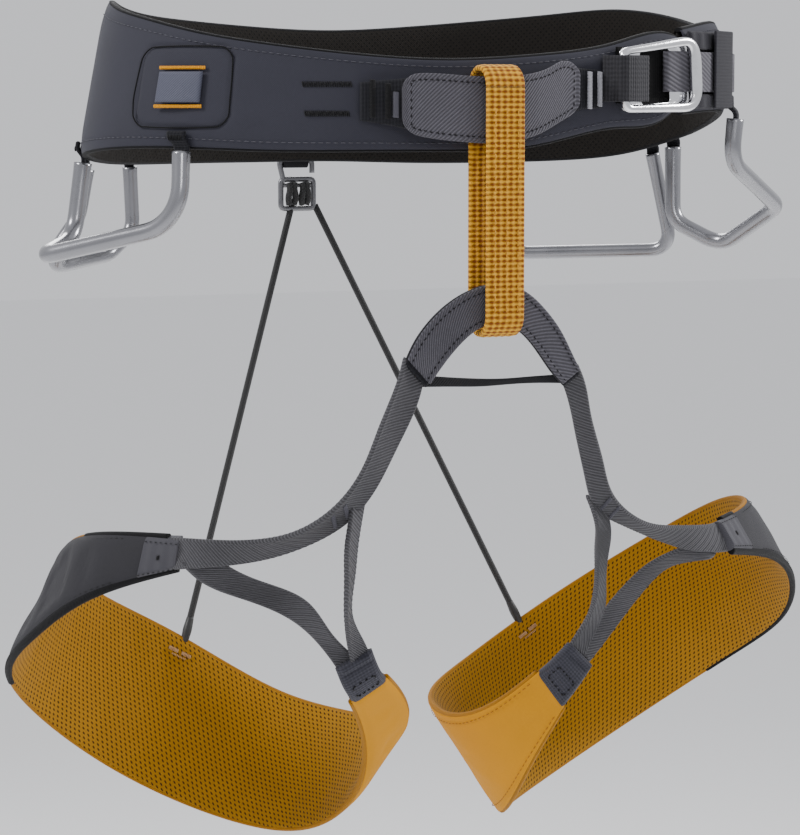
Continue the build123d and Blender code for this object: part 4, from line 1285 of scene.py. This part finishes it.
# ================================================================ gear loops
def gear_loop(place):
    points, radii, diameter = GEAR_PATH[place]
    body = f"{place}_gear_loop"
    line = eased(rounded_route(points, radii, 1.2), 6)
    count = len(line)
    radius = np.full(count, diameter / 2)
    flare = np.exp(-np.arange(count) / 4.0)
    radius = radius * (1 + 0.05 * (flare + flare[::-1]))
    sides, wall = 24, 0.9
    outer, inner = tube_mesh(line, radius, sides), tube_mesh(line, radius - wall, sides)
    verts, base = np.vstack([outer[0], inner[0]]), len(outer[0])
    faces = outer[1][:-2] + [[index + base for index in face[::-1]] for face in inner[1][:-2]]
    last = (count - 1) * sides
    for k in range(sides):
        j = (k + 1) % sides
        faces.append([j, k, base + k, base + j])
        faces.append([last + k, last + j, base + last + j, base + last + k])
    make_object(f"{place}_tube", verts, faces, "tube_plastic", body, np.vstack([outer[2], inner[2]]),
                [f"{place}_gear_tube"])
    tube(f"{place}_core", line[2:-2], diameter / 2 - 1.3, "tube_core", body, [f"{place}_gear_cord"],
         "tube_core", sides=14)
    anchors, threads = [], []
    for end in (points[0], points[-1]):
        end = np.array(end, float)
        away = unit([end[0] / BELT_X ** 2, end[1] / BELT_Y ** 2, 0])
        side = np.cross(away, (0, 0, 1.0))
        turn = math.degrees(math.atan2(end[0] / BELT_X, -end[1] / BELT_Y))
        turn = turn if turn < BELT_END + 1 else turn - 360
        low_edge = belt_edges(np.array([turn]))[0][0]
        top_z = max(end[2] + 8, low_edge + 6.5)
        seat, _ = on_belt(turn, top_z, 0.2)
        near, _ = on_belt(turn, max(low_edge + 1, end[2] + 4), 0.5)
        route = smooth_line([end - [0, 0, 1.5], end + [0, 0, 3.0], (near + seat) / 2, seat], 30)
        half = side * np.linspace(0.46, 0.62, 30)[:, None] * diameter
        normal = unit(np.cross(np.gradient(route, axis=0), -half))
        if np.dot(normal[0], away) < 0:
            normal = -normal
        anchors.append(strip_mesh(route - half, route + half, normal, 1.0, -1.0, across=14)[:3])
        top = route[22]
        threads.append(bar_tack(top + normal[22], side, (0, 0, 1), normal[22], diameter * 0.8, 2.4, 9, 0.32))
    build(f"{place}_anchor_webbing", anchors, "anchor_webbing", "waist", [f"{place}_gear_anchors"])
    build(f"{place}_anchor_tacks", threads, "black_thread", "waist")


# ================================================================ front buckle and strap
BUCKLE_ORIGIN = np.array([60.0, -107.4, 9.5])
BUCKLE_OUT = unit([0.292, -0.956, 0.0])
BUCKLE_ALONG = unit(np.array([0.95, 0.29, 0.07]) - np.dot([0.95, 0.29, 0.07], BUCKLE_OUT) * BUCKLE_OUT)
BUCKLE_UP = np.cross(BUCKLE_OUT, BUCKLE_ALONG)


def rounded_outline(corners, radii, count):
    """Evenly spaced points round a rounded polygon in the buckle's plane."""
    line = []
    number = len(corners)
    for k in range(number):
        point = np.array(corners[k], float)
        back, ahead = np.array(corners[k - 1]) - point, np.array(corners[(k + 1) % number]) - point
        back, ahead = back / np.linalg.norm(back), ahead / np.linalg.norm(ahead)
        half = math.acos(np.clip(np.dot(back, ahead), -1, 1)) / 2
        reach = radii[k] / math.tan(half)
        start, end = point + back * reach, point + ahead * reach
        for t in np.linspace(0, 1, 14):
            line.append((1 - t) ** 2 * start + 2 * t * (1 - t) * point + t * t * end)
    line = np.array(line + [line[0]])
    lengths = lengths_along(line)
    return read_along(lengths, line, np.linspace(0, lengths[-1], count, endpoint=False))


def ring_mesh(outer, inner, front, back, sides=18, fullness=2.6, bow=None):
    """A closed ring with a rounded section between an outer and an inner outline."""
    count = len(outer)
    start = np.argmin(np.linalg.norm(inner - outer[0], axis=1))
    inner = np.roll(inner, -start, axis=0)
    turn = np.linspace(0, 2 * np.pi, sides, endpoint=False)
    across = np.sign(np.cos(turn)) * np.abs(np.cos(turn)) ** (2 / fullness)
    height = np.sign(np.sin(turn)) * np.abs(np.sin(turn)) ** (2 / fullness)
    middle, reach = (outer + inner) / 2, (outer - inner) / 2
    flat = middle[:, None] + reach[:, None] * across[None, :, None]
    depth = (front + back) / 2 + height * (front - back) / 2
    depth = np.broadcast_to(depth[None, :], (count, sides)).copy()
    if bow is not None:
        depth += bow(flat[:, :, 0], flat[:, :, 1])
    verts = (BUCKLE_ORIGIN + flat[:, :, :1] * BUCKLE_ALONG + flat[:, :, 1:2] * BUCKLE_UP
             + depth[:, :, None] * BUCKLE_OUT).reshape(-1, 3)
    faces = grid_faces(count, sides, True)[:, ::-1].tolist()
    return verts, faces, flat.reshape(-1, 2)


def buckle():
    outer = rounded_outline([(-25, -13.5), (-25, 13.5), (24.6, 16.8), (24.6, -16.8)], [5, 5, 12, 12], 180)
    hole = [(-21.6, -10.6), (-21.6, 10.6), (18.0, 12.2), (18.0, -12.2)]
    inner = rounded_outline(hole, [2.5, 2.5, 4, 4], 180)
    verts, faces, uvs = ring_mesh(outer, inner, 1.9, -1.3, bow=lambda x, y: -0.0008 * x ** 2 + 0.25)
    make_object("buckle_frame_metal", verts, faces, "aluminium", "buckle_frame", uvs, ["buckle_frame"])
    outer = rounded_outline([(-22, -13.4), (-22, 13.4), (19.8, 13.4), (19.8, -13.4)], [3] * 4, 160)
    inner = rounded_outline([(-9.6, -11.2), (-9.6, 11.2), (7.6, 11.2), (7.6, -11.2)], [1.4] * 4, 160)
    verts, faces, uvs = ring_mesh(outer, inner, -2.7, -3.9, sides=14, fullness=3.2)
    make_object("buckle_base_metal", verts, faces, "aluminium", "waist", uvs, ["buckle_base"])


def upright_strip(name, plan, low, high, ply, material, body, replaces, slot, count=120, **shape):
    """A webbing ply standing upright along a smooth line drawn in plan."""
    line = rounded_plan(plan, count)
    along = unit(np.gradient(line, axis=0))
    normal = np.stack([along[:, 1], -along[:, 0], 0 * along[:, 0]], axis=1)
    flat = np.c_[line, np.zeros(count)]
    return strip(name, flat + [0, 0, high], flat + [0, 0, low], normal, ply / 2, -ply / 2, material, body,
                 replaces, slot, **shape)


def rounded_plan(points, count):
    """A line through plan points with its corners eased."""
    lengths = lengths_along(points)
    return eased(read_along(lengths, points, np.linspace(0, lengths[-1], count)), 3)


def buckle_plan(along, depth):
    flat = unit([BUCKLE_ALONG[0], BUCKLE_ALONG[1], 0])
    place = BUCKLE_ORIGIN + flat * along - BUCKLE_OUT * depth
    return place[0], place[1]


def belt_plan(angle, stand):
    place, _ = on_belt(angle, 0, stand)
    return place[0], place[1]


def straps():
    anchor = [buckle_plan(along, depth) for along, depth in (
        (-29.5, 6.4), (-27.4, 2.6), (-26.4, -1.2), (-23.6, -2.7), (-18.0, -2.3), (-9.0, -0.6), (-7.0, 2.0),
        (-8.6, 4.7), (-24.5, 4.9), (-27.5, 6.9))]
    first, second, normals = belt_rails(60, 14.5, 30.5, -2, 22)
    strip("buckle_backing", first, second, normals, 0.5, 0.0, "backing", "waist", slot="strap_webbing",
          across=20)

    def slant(u, v, width):
        return 0.1 * np.sin(2 * np.pi * (u * 0.45 + v) / 2.1)

    upright_strip("buckle_anchor_strap", anchor, -1.2, 18.4, 0.9, "dark_strap", "waist",
                  ["buckle_anchor_webbing"], "strap_webbing", 150, across=26, relief=slant)
    path = [belt_plan(angle, 2.3) for angle in range(-278, -325, -5)]
    path += [buckle_plan(along, depth) for along, depth in (
        (30, 7.2), (25, 2.1), (6.2, 2.1), (4.8, 3.3), (6.2, 4.8), (25, 4.8))]
    path += [belt_plan(angle, 0.7) for angle in (-324.5, *range(-320, -288, 5))]
    upright_strip("adjusting_strap", path, STRAP_LOW, STRAP_HIGH, 0.9, "strap_webbing", "waist",
                  ["adjust_strap"], "strap_webbing", 420, across=30, relief=slant)

    def slotted(u, v, width):
        return 0.7 * np.clip(np.sin(2 * np.pi * u / 9), -0.6, 0.5)

    slots = []
    for low, high in ((STRAP_HIGH + 0.8, 29.5), (-4.5, STRAP_LOW - 0.8)):
        first, second, normals = belt_rails(70, -325, -290, low, high)
        slots.append(strip_mesh(first, second, normals, 2.5, 0.2, across=14, relief=slotted)[:3])
    build("strap_guide_strips", slots, "guide_webbing", "waist", ["strap_guide"])
    keeper = [belt_plan(angle, 4.1) for angle in np.linspace(-316, -304, 13)]
    upright_strip("strap_keeper_band", keeper, -4, 30, 1.2, "keeper_elastic", "strap_keeper",
                  ["strap_keeper"], "keeper_elastic", 60, across=40)


# ================================================================ build everything
waist_belt()
clip_slots()
tie_in()
front_tacks()
belay()
leg_bridge()
for side in ("right", "left"):
    leg_arms(side)
    leg_loop(side)
    riser(side)
riser_hook()
haul_loop()
for place in GEAR_PATH:
    gear_loop(place)
buckle()
straps()
